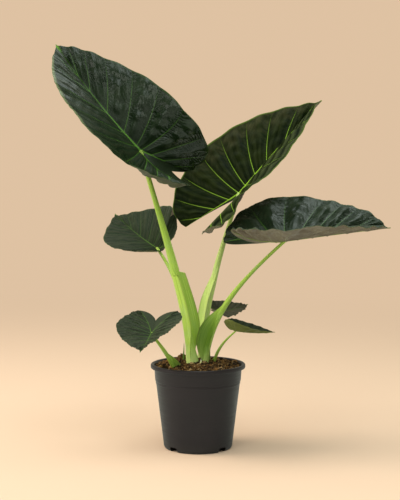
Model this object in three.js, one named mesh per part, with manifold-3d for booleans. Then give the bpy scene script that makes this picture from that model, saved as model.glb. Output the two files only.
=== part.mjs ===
// A potted alocasia: a black nursery pot, its soil and a plant of seven leaves.
// Millimetres, +Z up, the origin at the centre of the pot's base. +X is to the viewer's right and -Y
// towards the viewer.
import * as THREE from 'three';
import Module from 'manifold-3d';
import { mergeVertices } from 'three/addons/utils/BufferGeometryUtils.js';

const wasm = await Module();
wasm.setup();

// ---------------------------------------------------------------- driving dimensions

const gap = 0.3; // between pieces that touch
const holeGap = 0.6; // round the stems in the soil

const pot = {
  height: 188,
  rimRadius: 105,
  lipHeight: 10,
  collarRadius: 97,
  stepHeight: 151, // where the collar starts
  wallTopRadius: 94,
  beadHeight: 145,
  footRadius: 77,
  baseRadius: 71,
  wall: 2.4,
  floor: 3,
  segments: 44,
  notches: { count: 4, width: 21, height: 10, firstAngle: 45 },
};

const soil = {
  level: 181,
  mounds: [ // the highest in the middle, round the stems
    { x: 0, y: 0, height: 15, radius: 62 },
    { x: -36, y: 36, height: 13, radius: 12 },
    { x: 46, y: 44, height: 5, radius: 16 },
  ],
  grain: 2.2, // crumbs, up or down
  rings: 9,
  segments: 36,
  chips: 22,
  chipLength: 10,
  footChamfer: 12,
  seed: 7,
};

const rootDepth = 15; // how far the stems' feet reach below the soil's level
const bladeThickness = 1;
const ribDepth = 0.9; // of the lateral veins under the blade
const ribWidth = 6; // over which the two halves of a blade round into its midrib

// A leaf's flat plan has its junction with the stalk at the origin and its tip at +x. Angles are in
// degrees. Pairs are for the left and right half. Fold and curl are given at the lobe's end, the
// junction and the tip: fold is the half's slope from the midrib, curl is how much more it bends by
// the margin. Swell and wave are strengths of the margin's first harmonics, from the tip to the
// lobe's end: swell in its plane as a share of the width, wave out of it in mm. Each lateral vein
// leaves the rib and meets the left and right margin at places told as `bend` below tells them; the
// sixth starts at the junction.
const youngVeins = {
  rib: [0.13, 0.26, 0.39, 0.5, 0.57, 0.62, 0.69, 0.8, 0.9],
  margins: [
    [0.13, 0.25, 0.37, 0.47, 0.56, 0.64, 0.73, 0.83, 0.92],
    [0.13, 0.25, 0.37, 0.47, 0.56, 0.64, 0.73, 0.83, 0.92],
  ],
};
const leaves = {
  upper_left: {
    junction: [-127, 20, 659], heading: 184.5, pitch: 46.5, roll: -65,
    length: 293, lobe: 114, halfWidth: [141, 141], lobeSpread: [78, 73], sinus: 77, nakedCosta: 0,
    joined: 0.68, droop: 6, lobeDroop: [7, 58], sweep: -14, fullness: [2, 1.57],
    fold: [[90, 43, 6], [6, 36, 13]], curl: [[-10, 17, 22], [17, 24, 1]],
    swell: [[0.05, 0.04, 0.03], [0.015, 0.02, 0.01]], wave: [[-8, 8, -8, -1, 2], [1, -4, 7, -1, -4]],
    belly: [22, 0], quilt: 5, ribs: 4.5, drip: 6,
    veins: {
      rib: [0.17, 0.26, 0.385, 0.505, 0.59, 0.62, 0.7, 0.79, 0.878],
      margins: [
        [0.15, 0.23, 0.33, 0.42, 0.5, 0.6, 0.71, 0.81, 0.91],
        [0.19, 0.29, 0.385, 0.475, 0.55, 0.62, 0.71, 0.81, 0.91],
      ],
    },
    stalk: { foot: [-11, -18], rise: [-15, -14, 291], reach: [-58, 2, 423] },
    girth: [16.5, 11.5, 10, 10, 8, 5.8, 4.8],
    sheath: {
      face: [1, -0.35, 0.2], width: [24, 19], start: 0.06, full: 0.3, end: 0.55, torn: 0.02, wrap: 16,
    },
  },
  upper_right: {
    junction: [94, 110, 563], heading: -2, pitch: 50, roll: 34,
    length: 277, lobe: 135, halfWidth: [142, 139], lobeSpread: [62, 63], sinus: 21, nakedCosta: 1,
    droop: 4, lobeDroop: [16, -30], sweep: 0, fullness: [2, 1.4],
    fold: [[29, 27, 20], [18, 38, 18]], curl: [[12, 7, 9], [0, 16, -10]],
    swell: [[0.02, -0.05, 0], [0.02, -0.05, 0.03]], wave: [[-1, 0, 5, -5, 3], [-15, 9, 9, -7, 4]],
    belly: [0, 16], quilt: 4.5, ribs: 4.5, drip: 6,
    veins: {
      rib: [0.13, 0.265, 0.405, 0.495, 0.57, 0.62, 0.7, 0.81, 0.905],
      margins: [
        [0.12, 0.25, 0.375, 0.467, 0.55, 0.61, 0.7, 0.8, 0.93],
        [0.12, 0.25, 0.375, 0.467, 0.55, 0.61, 0.7, 0.8, 0.93],
      ],
    },
    stalk: { foot: [7, 11], rise: [2, 16, 287], reach: [44, 60, 409] },
    girth: [8.5, 9, 8.6, 5.4, 3.8],
    sheath: {
      face: [-1, -0.5, 0.2], width: [13, 13], start: 0.04, full: 0.26, end: 0.66, torn: 0.26, wrap: 12,
    },
  },
  right: {
    junction: [192, -30, 464], heading: -2, pitch: 7.5, roll: 15.5,
    length: 223, lobe: 131, halfWidth: [129, 127], lobeSpread: [60, 62], sinus: 42, nakedCosta: 0.2,
    droop: 2, lobeDroop: [28, -25], sweep: 2, fullness: [1.8, 1.73],
    fold: [[21, 28, 35], [35, 26, 25]], curl: [[8, 4, 0], [-1, 3, 10]],
    swell: [[0.02, 0.01, 0.02], [0.03, -0.01, 0]], wave: [[1, 1, 1, 0, -3], [-1, 1, -1, 2, 0]],
    belly: [0, 0], quilt: 5, ribs: 4, drip: 6,
    veins: {
      rib: [0.13, 0.25, 0.37, 0.46, 0.55, 0.62, 0.69, 0.8, 0.9],
      margins: [
        [0.12, 0.24, 0.35, 0.42, 0.49, 0.6, 0.72, 0.83, 0.92],
        [0.12, 0.24, 0.35, 0.42, 0.49, 0.6, 0.72, 0.83, 0.92],
      ],
    },
    stalk: { foot: [14, -16], rise: [14, -22, 281], reach: [74, -26, 358] },
    girth: [8, 7.6, 6.4, 4, 3.4],
    sheath: {
      face: [-1, -0.75, 0.4], width: [5, 24], start: 0.03, full: 0.24, end: 0.54, torn: 0.26, wrap: 15,
    },
  },
  middle_left: {
    junction: [-97, 180, 432], heading: 133, pitch: 20, roll: -31.5,
    length: 187, lobe: 46, halfWidth: [104, 103], lobeSpread: [38, 38], sinus: 24, nakedCosta: 0.8,
    droop: -2, lobeDroop: [-44, -45], sweep: -11, fullness: [2.2, 1.58],
    fold: [[29, 24, 7], [22, 37, -3]], curl: [[10, 14, -1], [10, 21, 4]],
    swell: [[0.02, 0.03, -0.04], [0.01, 0.01, -0.04]], wave: [[-1, 0, -1, 1, 0], [0, -2, 0, -1, -2]],
    belly: [0, 0], quilt: 2.5, ribs: 3, drip: 4, veins: youngVeins,
    stalk: { foot: [-11, 17], rise: [-18, 30, 314], reach: [-55, 100, 382] },
    girth: [7, 6.6, 5.6, 4, 3.2],
    sheath: {
      face: [1, -1, 0.3], width: [4, 4], start: 0.03, full: 0.15, end: 0.35, torn: 0.1, wrap: 9,
    },
  },
  lower_left: {
    junction: [-100, -95, 269], heading: -109, pitch: -34, roll: 5.5,
    length: 64, lobe: 58, halfWidth: [75, 77], lobeSpread: [43, 38], sinus: 35, nakedCosta: 0,
    droop: -8, lobeDroop: [-19, -22], sweep: -3, fullness: [1.66, 1.85],
    fold: [[2, 17, 27], [12, 19, 14]], curl: [[-2, 7, 4], [3, 9, 3]],
    swell: [[-0.01, 0, -0.02], [0, -0.01, -0.02]], wave: [[0, 1, 1, 0, 0], [0, 0, 1, 1, 0]],
    belly: [0, 0], quilt: 1.8, ribs: 2, drip: 4, veins: youngVeins,
    stalk: { foot: [-44, -42], rise: [-61, -52, 214], reach: [-86, -72, 242] },
    girth: [5.2, 5, 4.2, 3.2, 2.6],
    sheath: {
      face: [1, -0.6, 0.7], width: [14, 4], start: -0.1, full: 0.06, end: 0.5, torn: 0.4, wrap: 12,
    },
  },
  small_back: {
    junction: [55, 90, 294], heading: 11, pitch: 1.5, roll: 22,
    length: 61, lobe: 32, halfWidth: [34, 37], lobeSpread: [16, 15], sinus: 8, nakedCosta: 0.4,
    droop: -23, lobeDroop: [-5, -17], sweep: 5, fullness: [1.63, 1.96],
    fold: [[18, 15, 11], [31, 8, 6]], curl: [[7, 6, 3], [11, 0, 1]],
    swell: [[-0.02, -0.01, -0.01], [0.03, 0.02, 0]], wave: [[0, 0, 0, 0, 0], [-1, 0, 0, 0, 0]],
    belly: [0, 0], quilt: 1.2, ribs: 1.4, drip: 2, veins: youngVeins,
    stalk: { foot: [17, 27], rise: [24, 42, 246], reach: [42, 72, 268] },
    girth: [3.8, 3.6, 3, 2.4, 1.9],
    sheath: {
      face: [-1, -0.8, 0.5], width: [3, 3], start: 0.05, full: 0.15, end: 0.3, torn: 0.15, wrap: 6,
    },
  },
  small_front: {
    junction: [83, -60, 269], heading: -10, pitch: -8.5, roll: -1.5,
    length: 82, lobe: 27, halfWidth: [39, 40], lobeSpread: [25, 24], sinus: 10, nakedCosta: 0.4,
    droop: -15, lobeDroop: [0, 0], sweep: 1, fullness: [1.67, 1.6],
    fold: [[37, 30, 27], [41, 32, 20]], curl: [[9, 1, 3], [12, 4, -2]],
    swell: [[-0.01, 0, 0], [-0.01, -0.01, 0.01]], wave: [[0, 0, 0, 0, 0], [0, 0, 1, 0, 0]],
    belly: [0, 0], quilt: 1.3, ribs: 1.5, drip: 2.5, veins: youngVeins,
    stalk: { foot: [30, 4], rise: [38, -18, 226], reach: [63, -46, 249] },
    girth: [4, 3.6, 2.8, 2.1, 1.7],
    sheath: {
      face: [-1, -0.8, 0.5], width: [3, 3], start: 0.05, full: 0.15, end: 0.3, torn: 0.15, wrap: 6,
    },
  },
};

const crown = { x: 6.5, y: -32, radius: 4.5, top: 204 };
const shoots = {
  shoot_left: { foot: [-33, 2], tip: [-31, 4, 236], radius: 2.2 },
  shoot_right: { foot: [24, -6], tip: [27, -5, 227], radius: 1.8 },
};

const looks = {
  pot: { color: 0x1b1b1d, roughness: 0.45 },
  soil: { color: 0x3b2a1e, roughness: 0.95 },
  crown: { color: 0xd9d3b4, roughness: 0.6 },
  stalk: { color: 0x9cc45a, roughness: 0.4 },
  blade: { color: 0x16291c, roughness: 0.35 },
  youngBlade: { color: 0x2d4630, roughness: 0.45 },
  shoot: { color: 0x6d9a3c, roughness: 0.45 },
};

// ---------------------------------------------------------------- small helpers

const radians = THREE.MathUtils.degToRad;
const clamp = THREE.MathUtils.clamp;
const smooth = (x, low, high) => THREE.MathUtils.smoothstep(x, low, high);
const mix = (a, b, share) => a + (b - a) * share;
const never0 = (angle) => (Math.abs(angle) < 1e-3 ? 1e-3 : angle);

function randomFrom(seed) {
  let state = seed;
  return () => {
    state = (state * 16807) % 2147483647;
    return state / 2147483647;
  };
}

function bezier(points, share) {
  const rest = 1 - share;
  const weights = points.length === 3
    ? [rest * rest, 2 * rest * share, share * share]
    : [rest ** 3, 3 * rest * rest * share, 3 * rest * share * share, share ** 3];
  return points[0].map((_, axis) => points.reduce((sum, point, i) => sum + point[axis] * weights[i], 0));
}

function geometryFrom(positions, triangles) {
  const geometry = new THREE.BufferGeometry();
  geometry.setAttribute('position', new THREE.Float32BufferAttribute(positions.flat(), 3));
  geometry.setIndex(triangles.flat());
  return geometry;
}

function toSolid(geometry) {
  const bare = geometry.clone();
  bare.deleteAttribute('normal');
  bare.deleteAttribute('uv');
  const merged = mergeVertices(bare, 1e-4);
  return new wasm.Manifold(new wasm.Mesh({
    numProp: 3,
    vertProperties: new Float32Array(merged.attributes.position.array),
    triVerts: new Uint32Array(merged.index.array),
  }));
}

function toGeometry(solid) {
  const mesh = solid.getMesh();
  const geometry = new THREE.BufferGeometry();
  geometry.setAttribute('position', new THREE.BufferAttribute(new Float32Array(mesh.vertProperties), 3));
  geometry.setIndex(new THREE.BufferAttribute(new Uint32Array(mesh.triVerts), 1));
  return geometry;
}

// the largest body of a cut solid: what a cut leaves loose is dropped
function largest(solid) {
  return solid.decompose().reduce((best, body) => (body.volume() > best.volume() ? body : best));
}

// a closed skin from a grid of rings, with both ends capped by a fan
function skin(rings) {
  const around = rings[0].length;
  const positions = rings.flat();
  const triangles = [];
  for (let i = 0; i < rings.length - 1; i += 1) {
    for (let j = 0; j < around; j += 1) {
      const a = i * around + j;
      const b = i * around + ((j + 1) % around);
      triangles.push([a, b, b + around], [a, b + around, a + around]);
    }
  }
  for (const [ring, flip] of [[0, true], [rings.length - 1, false]]) {
    const centre = positions.length;
    positions.push([0, 1, 2].map((axis) => rings[ring].reduce((sum, p) => sum + p[axis], 0) / around));
    for (let j = 0; j < around; j += 1) {
      const a = ring * around + j;
      const b = ring * around + ((j + 1) % around);
      triangles.push(flip ? [b, a, centre] : [a, b, centre]);
    }
  }
  return geometryFrom(positions, triangles);
}

// ---------------------------------------------------------------- a leaf's flat plan

// t tells a place along the margin: 0 at the tip, `bend` level with the junction, 1 at the lobe's
// end; along the ribs it runs from the tip to the junction and on to the lobe's end. A row's phase
// counts the veins: 0 at the tip, a whole number on each vein, and one more at the lobe's end.
const bend = 0.62;
const junctionPhase = 6;
const joined = 0.25; // share of the lobes' ribs along which the two lobes are one, on most leaves
const veinBow = 0.1; // of the veins towards the lobes, as a share of the blade's length
const phases = [0, 0.35, 0.65];
for (let phase = 1; phase <= 9; phase += 0.5) phases.push(phase);
phases.push(9.6, 10);
const isSmall = (leaf) => leaf.length < 100;
const acrossBlade = (leaf) => (isSmall(leaf) ? [0, 0.08, 0.5, 1] : [0, 0.07, 0.3, 0.55, 0.8, 1]);
const acrossLobe = (leaf) => (isSmall(leaf) ? [0, 0.5, 1] : [0, 0.12, 0.5, 1]);

const harmonics = (strengths, t) =>
  strengths.reduce((sum, strength, i) => sum + strength * Math.sin((i + 1) * Math.PI * t), 0);

function placeOf(phase, veinPlaces) {
  const places = [0, ...veinPlaces, 1];
  const i = Math.min(Math.floor(phase), places.length - 2);
  return mix(places[i], places[i + 1], phase - i);
}

const ribPlace = (leaf, phase) => placeOf(phase, leaf.veins.rib);
const marginPlace = (leaf, side, phase) => placeOf(phase, leaf.veins.margins[side]);

// the midrib from the tip to the junction, then the rib of the lobe
function ribAt(leaf, side, t) {
  if (t < bend) return [leaf.length * (1 - t / bend), 0];
  const spread = leaf.lobeSpread[side];
  const line = [[0, 0], [-0.45 * leaf.lobe, 0.3 * spread], [-leaf.lobe, spread]];
  return bezier(line, (t - bend) / (1 - bend));
}

function marginAt(leaf, side, t) {
  const width = leaf.halfWidth[side];
  const spread = leaf.lobeSpread[side];
  let edge;
  if (t < bend) {
    const x = 1 - (t / bend) ** 2.4;
    edge = [leaf.length * x, width * (1 - x ** leaf.fullness[side]) ** 0.85];
  } else {
    const { lobe } = leaf;
    const round = [[0, width], [-0.62 * lobe, width], [-lobe, mix(spread, width, 0.5)], [-lobe, spread]];
    edge = bezier(round, (t - bend) / (1 - bend));
  }
  const rib = ribAt(leaf, side, t);
  const grow = 1 + harmonics(leaf.swell[side], t);
  return rib.map((value, axis) => value + (edge[axis] - value) * grow);
}

// the inner margin from the sinus to the lobe's end: near the lobe's rib where the rib is naked
function innerMarginAt(leaf, side, u) {
  const spread = leaf.lobeSpread[side];
  const { lobe, sinus } = leaf;
  const inward = [-sinus - 0.35 * (lobe - sinus), 0.02 * spread];
  const full = [[-sinus, 0], inward, [-lobe, 0.45 * spread], [-lobe, spread]];
  const naked = [[-sinus, 0], [-0.45 * lobe, 0.3 * spread], [-lobe, spread]];
  const a = bezier(full, u);
  const b = bezier(naked, u);
  return a.map((value, axis) => mix(value, b[axis], leaf.nakedCosta));
}

// a point of the blade outside the rib, at share w from the rib to the margin; the tip itself runs
// out into a drip tip
function bladePoint(leaf, side, phase, w) {
  const t = marginPlace(leaf, side, phase);
  const rib = ribAt(leaf, side, ribPlace(leaf, phase));
  const edge = marginAt(leaf, side, t);
  const bow = veinBow * leaf.length * Math.sin(Math.PI * t) * w * (1 - w);
  const drip = phase === 0 ? leaf.drip : 0;
  return [mix(rib[0], edge[0], w) - bow + drip, mix(rib[1], edge[1], w)];
}

// a point of the lobe inside its rib, at share w from the rib to the axis or the inner margin
function lobePoint(leaf, side, phase, w) {
  const t = ribPlace(leaf, phase);
  const u = (t - bend) / (1 - bend);
  const open = leaf.joined ?? joined;
  const edge = u < open
    ? [-leaf.sinus * (u / open), 0]
    : innerMarginAt(leaf, side, (u - open) / (1 - open));
  return ribAt(leaf, side, t).map((value, axis) => mix(value, edge[axis], w));
}

// how far the blade stands out of its smooth surface: puckered up between the lateral veins, waved
// at the margin, and hung down in a belly before an upturned margin
function relief(leaf, side, phase, w) {
  const t = marginPlace(leaf, side, phase);
  const inBlade = smooth(t, 0.05, 0.15) * (1 - smooth(t, 0.93, 1));
  const pucker = leaf.quilt * Math.sin(Math.PI * phase) ** 2 * inBlade * 4 * w * (1 - 0.75 * w);
  const hang = leaf.belly[side] * 16 * (w * (1 - w)) ** 2 * smooth(t, 0.45, 0.7) * (1 - smooth(t, 0.9, 1));
  return pucker * 0.5 + harmonics(leaf.wave[side], t) * w * w - hang;
}

// from the flat plan to the real place: each half folds and curls about the midrib, the midrib and
// the lobes droop, and the leaf turns to its heading, pitch and roll. `off` is out of the surface.
function placeBlade(leaf, side, point, off) {
  const [x, across] = point;
  const ahead = clamp(x / leaf.length, 0, 1.1);
  const behind = clamp(-x / leaf.lobe, 0, 1.2);
  const at = ([lobe, middle, tip]) => radians(middle + (tip - middle) * ahead + (lobe - middle) * behind);
  const fold = (at(leaf.fold[side]) * across) / Math.hypot(across, ribWidth);
  const curl = never0(at(leaf.curl[side]));
  const turn = fold + (curl * across) / leaf.halfWidth[side];
  const reach = leaf.halfWidth[side] / curl;
  const out = reach * (Math.sin(turn) - Math.sin(fold)) - off * Math.sin(turn);
  const up = reach * (Math.cos(fold) - Math.cos(turn)) + off * Math.cos(turn);

  const droop = never0(radians(leaf.droop));
  const middleDroop = radians(leaf.lobeDroop[0] + leaf.lobeDroop[1]) / 2;
  const lobeDroop = never0(mix(middleDroop, radians(leaf.lobeDroop[side]), across / (across + 12)));
  const slope = x >= 0 ? droop * ahead : -lobeDroop * behind;
  const size = x >= 0 ? leaf.length / droop : leaf.lobe / lobeDroop;
  const angle = x >= 0 ? slope : -slope;
  const along = (x >= 0 ? 1 : -1) * size * Math.sin(angle) + up * Math.sin(slope);
  const rise = -size * (1 - Math.cos(angle)) + up * Math.cos(slope);
  const sweep = x >= 0 ? (leaf.length * ahead * ahead * radians(leaf.sweep)) / 2 : 0;
  const sideways = (side === 0 ? 1 : -1) * out + sweep;

  const frame = new THREE.Matrix4().makeRotationFromEuler(
    new THREE.Euler(radians(leaf.roll), -radians(leaf.pitch), radians(leaf.heading), 'ZYX'),
  );
  return new THREE.Vector3(along, sideways, rise).applyMatrix4(frame)
    .add(new THREE.Vector3(...leaf.junction)).toArray();
}

// where the lobes are one nearly to their ends, the skin between them isn't folded along the axis but
// drawn taut: straight lines from rib to rib, which fall back to each rib past the sinus
function placeWeb(leaf, side, phase, w, off) {
  const ribs = (place) => [side, 1 - side].map((half) => new THREE.Vector3(
    ...placeBlade(leaf, half, lobePoint(leaf, half, place, 0), 0),
  ));
  const on = (place) => {
    const u = (ribPlace(leaf, place) - bend) / (1 - bend);
    const reach = Math.min(1, (1 - u) / (1 - leaf.joined)) ** 1.2;
    const [own, other] = ribs(place);
    return own.lerp(other, 0.5 * w * reach);
  };
  const [own, other] = ribs(phase);
  const along = on(Math.min(phase + 0.05, 10)).sub(on(phase - 0.05));
  const out = along.cross(other.sub(own)).normalize();
  return on(phase).addScaledVector(out, side === 0 ? off : -off).toArray();
}

// ---------------------------------------------------------------- a blade as a thin closed solid

// the rib under the blade: deep by the midrib, and slighter under each lateral vein
function underside(leaf, phase, w) {
  const t = ribPlace(leaf, phase);
  const alongMidrib = t < bend ? t / bend : 1 - 0.75 * ((t - bend) / (1 - bend));
  const midrib = w < 0.01 ? leaf.ribs * (0.15 + 0.85 * alongMidrib) : 0;
  const vein = ribDepth * Math.cos(Math.PI * phase) ** 2 * (1 - w) * Math.min(1, leaf.ribs / 3);
  return bladeThickness + midrib + vein;
}

// one side of the sheet, upper and lower: vertices are shared along the midrib, ribs and tips
function bladeSheet(leaf, grow) {
  const vertices = [];
  const places = new Map();
  const triangles = [];
  const vertex = (side, point, off, deep, place) => {
    const flat = [point[0], side === 0 ? point[1] : -point[1]];
    const key = `${flat[0].toFixed(3)} ${(Math.abs(flat[1]) < 1e-4 ? 0 : flat[1]).toFixed(3)}`;
    if (!places.has(key)) {
      places.set(key, vertices.length);
      vertices.push({ top: place(off + grow), bottom: place(off - deep - grow) });
    }
    return places.get(key);
  };
  const outer = (side, phase, w) => {
    const point = bladePoint(leaf, side, phase, w);
    const deep = underside(leaf, phase, w);
    const place = (off) => placeBlade(leaf, side, point, off);
    return vertex(side, point, relief(leaf, side, phase, w), deep, place);
  };
  const inner = (side, phase, w) => {
    const point = lobePoint(leaf, side, phase, w);
    const place = leaf.joined
      ? (off) => placeWeb(leaf, side, phase, w, off)
      : (off) => placeBlade(leaf, side, point, off);
    return vertex(side, point, 0, underside(leaf, phase, w), place);
  };
  const patch = (grid, side, inner) => {
    for (let i = 0; i < grid.length - 1; i += 1) {
      for (let j = 0; j < grid[i].length - 1; j += 1) {
        const corners = [grid[i][j], grid[i + 1][j], grid[i + 1][j + 1], grid[i][j + 1]];
        if ((side === 1) !== inner) corners.reverse();
        for (const triangle of [[0, 1, 2], [0, 2, 3]]) {
          const [a, b, c] = triangle.map((k) => corners[k]);
          if (a !== b && b !== c && c !== a) triangles.push([a, c, b]);
        }
      }
    }
  };
  for (const side of [0, 1]) {
    const lobePhases = phases.filter((phase) => phase >= junctionPhase);
    patch(phases.map((phase) => acrossBlade(leaf).map((w) => outer(side, phase, w))), side, false);
    patch(lobePhases.map((phase) => acrossLobe(leaf).map((w) => inner(side, phase, w))), side, true);
  }
  return { vertices, triangles };
}

function bladeGeometry(leaf, grow = 0) {
  const { vertices, triangles } = bladeSheet(leaf, grow);
  const count = vertices.length;
  const positions = [...vertices.map((v) => v.top), ...vertices.map((v) => v.bottom)];
  const faces = [...triangles, ...triangles.map(([a, b, c]) => [a + count, c + count, b + count])];
  const edges = new Set(triangles.flatMap(([a, b, c]) => [`${a} ${b}`, `${b} ${c}`, `${c} ${a}`]));
  for (const edge of edges) {
    const [a, b] = edge.split(' ').map(Number);
    if (!edges.has(`${b} ${a}`)) faces.push([a, b + count, b], [a, a + count, b + count]);
  }
  return geometryFrom(positions, faces);
}

// ---------------------------------------------------------------- a stalk with its open sheath

const stalkSteps = [
  0, 0.06, 0.12, 0.18, 0.24, 0.3, 0.36, 0.42, 0.48, 0.51, 0.53, 0.54, 0.55, 0.64, 0.76, 0.88, 1,
];
const stalkSides = 12;
const wingThickness = 0.9; // half of it, where the sheath is fully open

function girthAt(leaf, share) {
  const scaled = share * (leaf.girth.length - 1);
  const i = Math.min(Math.floor(scaled), leaf.girth.length - 2);
  return mix(leaf.girth[i], leaf.girth[i + 1], scaled - i);
}

// The section is a round stem whose two wings wrap towards the face of the sheath. Its middle line
// is an arc, and across it the thickness is the larger of the stem's and the wing's.
function stalkRing(leaf, share, grow) {
  const { foot, rise, reach } = leaf.stalk;
  const line = [[...foot, soil.level - rootDepth - grow], rise, reach, leaf.junction];
  const centre = new THREE.Vector3(...bezier(line, share));
  const step = 0.004;
  const low = new THREE.Vector3(...bezier(line, Math.max(0, share - step)));
  const high = new THREE.Vector3(...bezier(line, Math.min(1, share + step)));
  const tangent = high.sub(low).normalize();
  const face = new THREE.Vector3(...leaf.sheath.face);
  face.addScaledVector(tangent, -face.dot(tangent)).normalize();
  const across = new THREE.Vector3().crossVectors(face, tangent).normalize();

  const stemRadius = girthAt(leaf, share);
  const radius = stemRadius + grow;
  const { start, full, end, torn, wrap } = leaf.sheath;
  const open = smooth(share, start, full) * (1 - smooth(share, end - torn, end));
  const wings = leaf.sheath.width.map((width) => width * open);
  const widest = Math.max(...wings);
  const bendOf = (widest / (widest + stemRadius)) / Math.max(wrap, stemRadius + 2);
  const ring = [];
  for (let i = 0; i < stalkSides; i += 1) {
    const angle = (2 * Math.PI * i) / stalkSides;
    const s = Math.cos(angle);
    const along = s * (radius + wings[s < 0 ? 0 : 1]);
    const stem = Math.sqrt(Math.max(0, radius * radius - along * along));
    const wing = (wingThickness * open + grow) * Math.sqrt(Math.abs(Math.sin(angle)));
    const half = (stem ** 4 + wing ** 4) ** 0.25 * Math.sign(Math.sin(angle));
    const turn = along * bendOf;
    const sideways = bendOf < 1e-6 ? along : Math.sin(turn) / bendOf;
    const forward = bendOf < 1e-6 ? 0 : (1 - Math.cos(turn)) / bendOf;
    const point = centre.clone()
      .addScaledVector(across, sideways - half * Math.sin(turn))
      .addScaledVector(face, forward + half * Math.cos(turn));
    ring.push(point.toArray());
  }
  return ring;
}

function stalkSolid(leaf, grow = 0) {
  const rings = stalkSteps.map((share) => stalkRing(leaf, share, grow));
  return toSolid(skin(rings));
}

// ---------------------------------------------------------------- crown and shoots

function crownSolid(grow = 0) {
  const { radius, top } = crown;
  const low = soil.level - rootDepth - grow;
  const profile = [
    [0, low], [radius + grow, low], [radius + grow, soil.level + 4],
    [radius * 0.86 + grow, top - 10], [radius * 0.5 + grow, top - 2], [0, top + grow],
  ];
  const geometry = new THREE.LatheGeometry(profile.map(([r, z]) => new THREE.Vector2(r, z)), 14);
  return toSolid(geometry.rotateX(Math.PI / 2).translate(crown.x, crown.y, 0));
}

function shootSolid({ foot, tip, radius }, grow = 0) {
  const base = new THREE.Vector3(...foot, soil.level - rootDepth);
  const lean = new THREE.Vector3(...tip).sub(base);
  const shares = [0, 0.35, 0.7, 0.93];
  const rings = shares.map((share) => {
    const size = radius * (1 - share ** 2.5) + grow;
    return Array.from({ length: 8 }, (_, i) => {
      const angle = (2 * Math.PI * i) / 8;
      const out = new THREE.Vector3(Math.cos(angle) * size, Math.sin(angle) * size, 0);
      return base.clone().addScaledVector(lean, share).add(out).toArray();
    });
  });
  return toSolid(skin(rings));
}

// ---------------------------------------------------------------- pot

function potProfiles() {
  const { height, rimRadius, lipHeight, collarRadius, stepHeight, wallTopRadius } = pot;
  const { beadHeight, footRadius, baseRadius, wall, floor } = pot;
  const lip = height - lipHeight;
  const slope = (z) => mix(footRadius, wallTopRadius - 0.8, (z - 12) / (beadHeight - 12));
  const outer = [
    [0, 0], [baseRadius, 0], [baseRadius + 3.5, 1.6], [footRadius - 0.6, 5.5], [footRadius, 12],
    [slope(beadHeight - 1.5), beadHeight - 1.5], [wallTopRadius, beadHeight],
    [wallTopRadius - 0.4, stepHeight - 1], [wallTopRadius + 1.2, stepHeight], [collarRadius, lip],
    [rimRadius - 1, lip + 0.6], [rimRadius, lip + 2], [rimRadius, height - 2], [rimRadius - 2.4, height],
  ];
  const inner = [
    [collarRadius + 1.6, height - 0.6], [collarRadius - wall + 1.6, height - 5], [collarRadius - wall, lip],
    [slope(beadHeight) - wall, stepHeight - 4], [footRadius - wall, 14], [baseRadius - 1, floor], [0, floor],
  ];
  return { outer, inner };
}

function lathe(profile, segments) {
  const geometry = new THREE.LatheGeometry(profile.map(([r, z]) => new THREE.Vector2(r, z)), segments);
  return geometry.rotateX(Math.PI / 2);
}

function potSolid() {
  const { outer, inner } = potProfiles();
  let solid = toSolid(lathe([...outer, ...inner], pot.segments));
  const { count, width, height, firstAngle } = pot.notches;
  for (let i = 0; i < count; i += 1) {
    const box = new THREE.BoxGeometry(24, width, height + 2);
    box.translate(pot.footRadius - 2, 0, (height - 2) / 2);
    solid = solid.subtract(toSolid(box.rotateZ(radians(firstAngle + (360 / count) * i))));
  }
  return largest(solid);
}

// ---------------------------------------------------------------- soil

function soilHeight(x, y, random) {
  const raised = soil.mounds.reduce((sum, mound) => {
    const away = Math.hypot(x - mound.x, y - mound.y) / mound.radius;
    return sum + mound.height * Math.exp(-away * away);
  }, 0);
  return soil.level + raised + soil.grain * (2 * random() - 1);
}

function soilBody(random) {
  const { inner } = potProfiles();
  const wallLine = inner.slice(1).reverse().filter(([r]) => r > 0);
  const edge = wallLine.filter(([, z]) => z > pot.floor && z < soil.level).map(([r, z]) => [r - gap, z]);
  const top = soil.level - 1;
  const last = edge[edge.length - 1];
  const above = wallLine.find(([, z]) => z > soil.level);
  edge.push([mix(last[0], above[0] - gap, (top - last[1]) / (above[1] - last[1])), top]);
  const foot = [edge[0][0] - soil.footChamfer, pot.floor + gap];
  const ringOf = ([r, z]) => Array.from({ length: soil.segments }, (_, i) => {
    const angle = (2 * Math.PI * i) / soil.segments;
    return [r * Math.cos(angle), r * Math.sin(angle), z];
  });
  const rings = [foot, ...edge].map(ringOf);
  for (let ring = 1; ring < soil.rings; ring += 1) {
    const radius = edge[edge.length - 1][0] * (1 - ring / soil.rings);
    rings.push(ringOf([radius, 0]).map(([x, y]) => [x, y, soilHeight(x, y, random)]));
  }
  return toSolid(skin(rings));
}

// flat bark chips and crumbs, half sunk in the surface
function soilChips(random) {
  let chips = null;
  for (let i = 0; i < soil.chips; i += 1) {
    const radius = 22 + 64 * Math.sqrt(random());
    const angle = 2 * Math.PI * random();
    const long = soil.chipLength * (0.5 + 0.7 * random());
    const chip = new THREE.OctahedronGeometry(1);
    chip.scale(long, long * (0.35 + 0.3 * random()), 2.6 + 2 * random());
    chip.rotateX(0.9 * (random() - 0.5)).rotateY(0.9 * (random() - 0.5));
    chip.rotateZ(2 * Math.PI * random());
    const x = radius * Math.cos(angle);
    const y = radius * Math.sin(angle);
    chip.translate(x, y, soilHeight(x, y, () => 0.5) - 0.4);
    const solid = toSolid(chip);
    chips = chips ? chips.add(solid) : solid;
  }
  return chips;
}

function soilSolid(standing) {
  const random = randomFrom(soil.seed);
  let solid = soilBody(random).add(soilChips(random));
  for (const stem of standing) solid = solid.subtract(stem);
  return largest(solid);
}

// ---------------------------------------------------------------- the object

const object = new THREE.Group();

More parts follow.
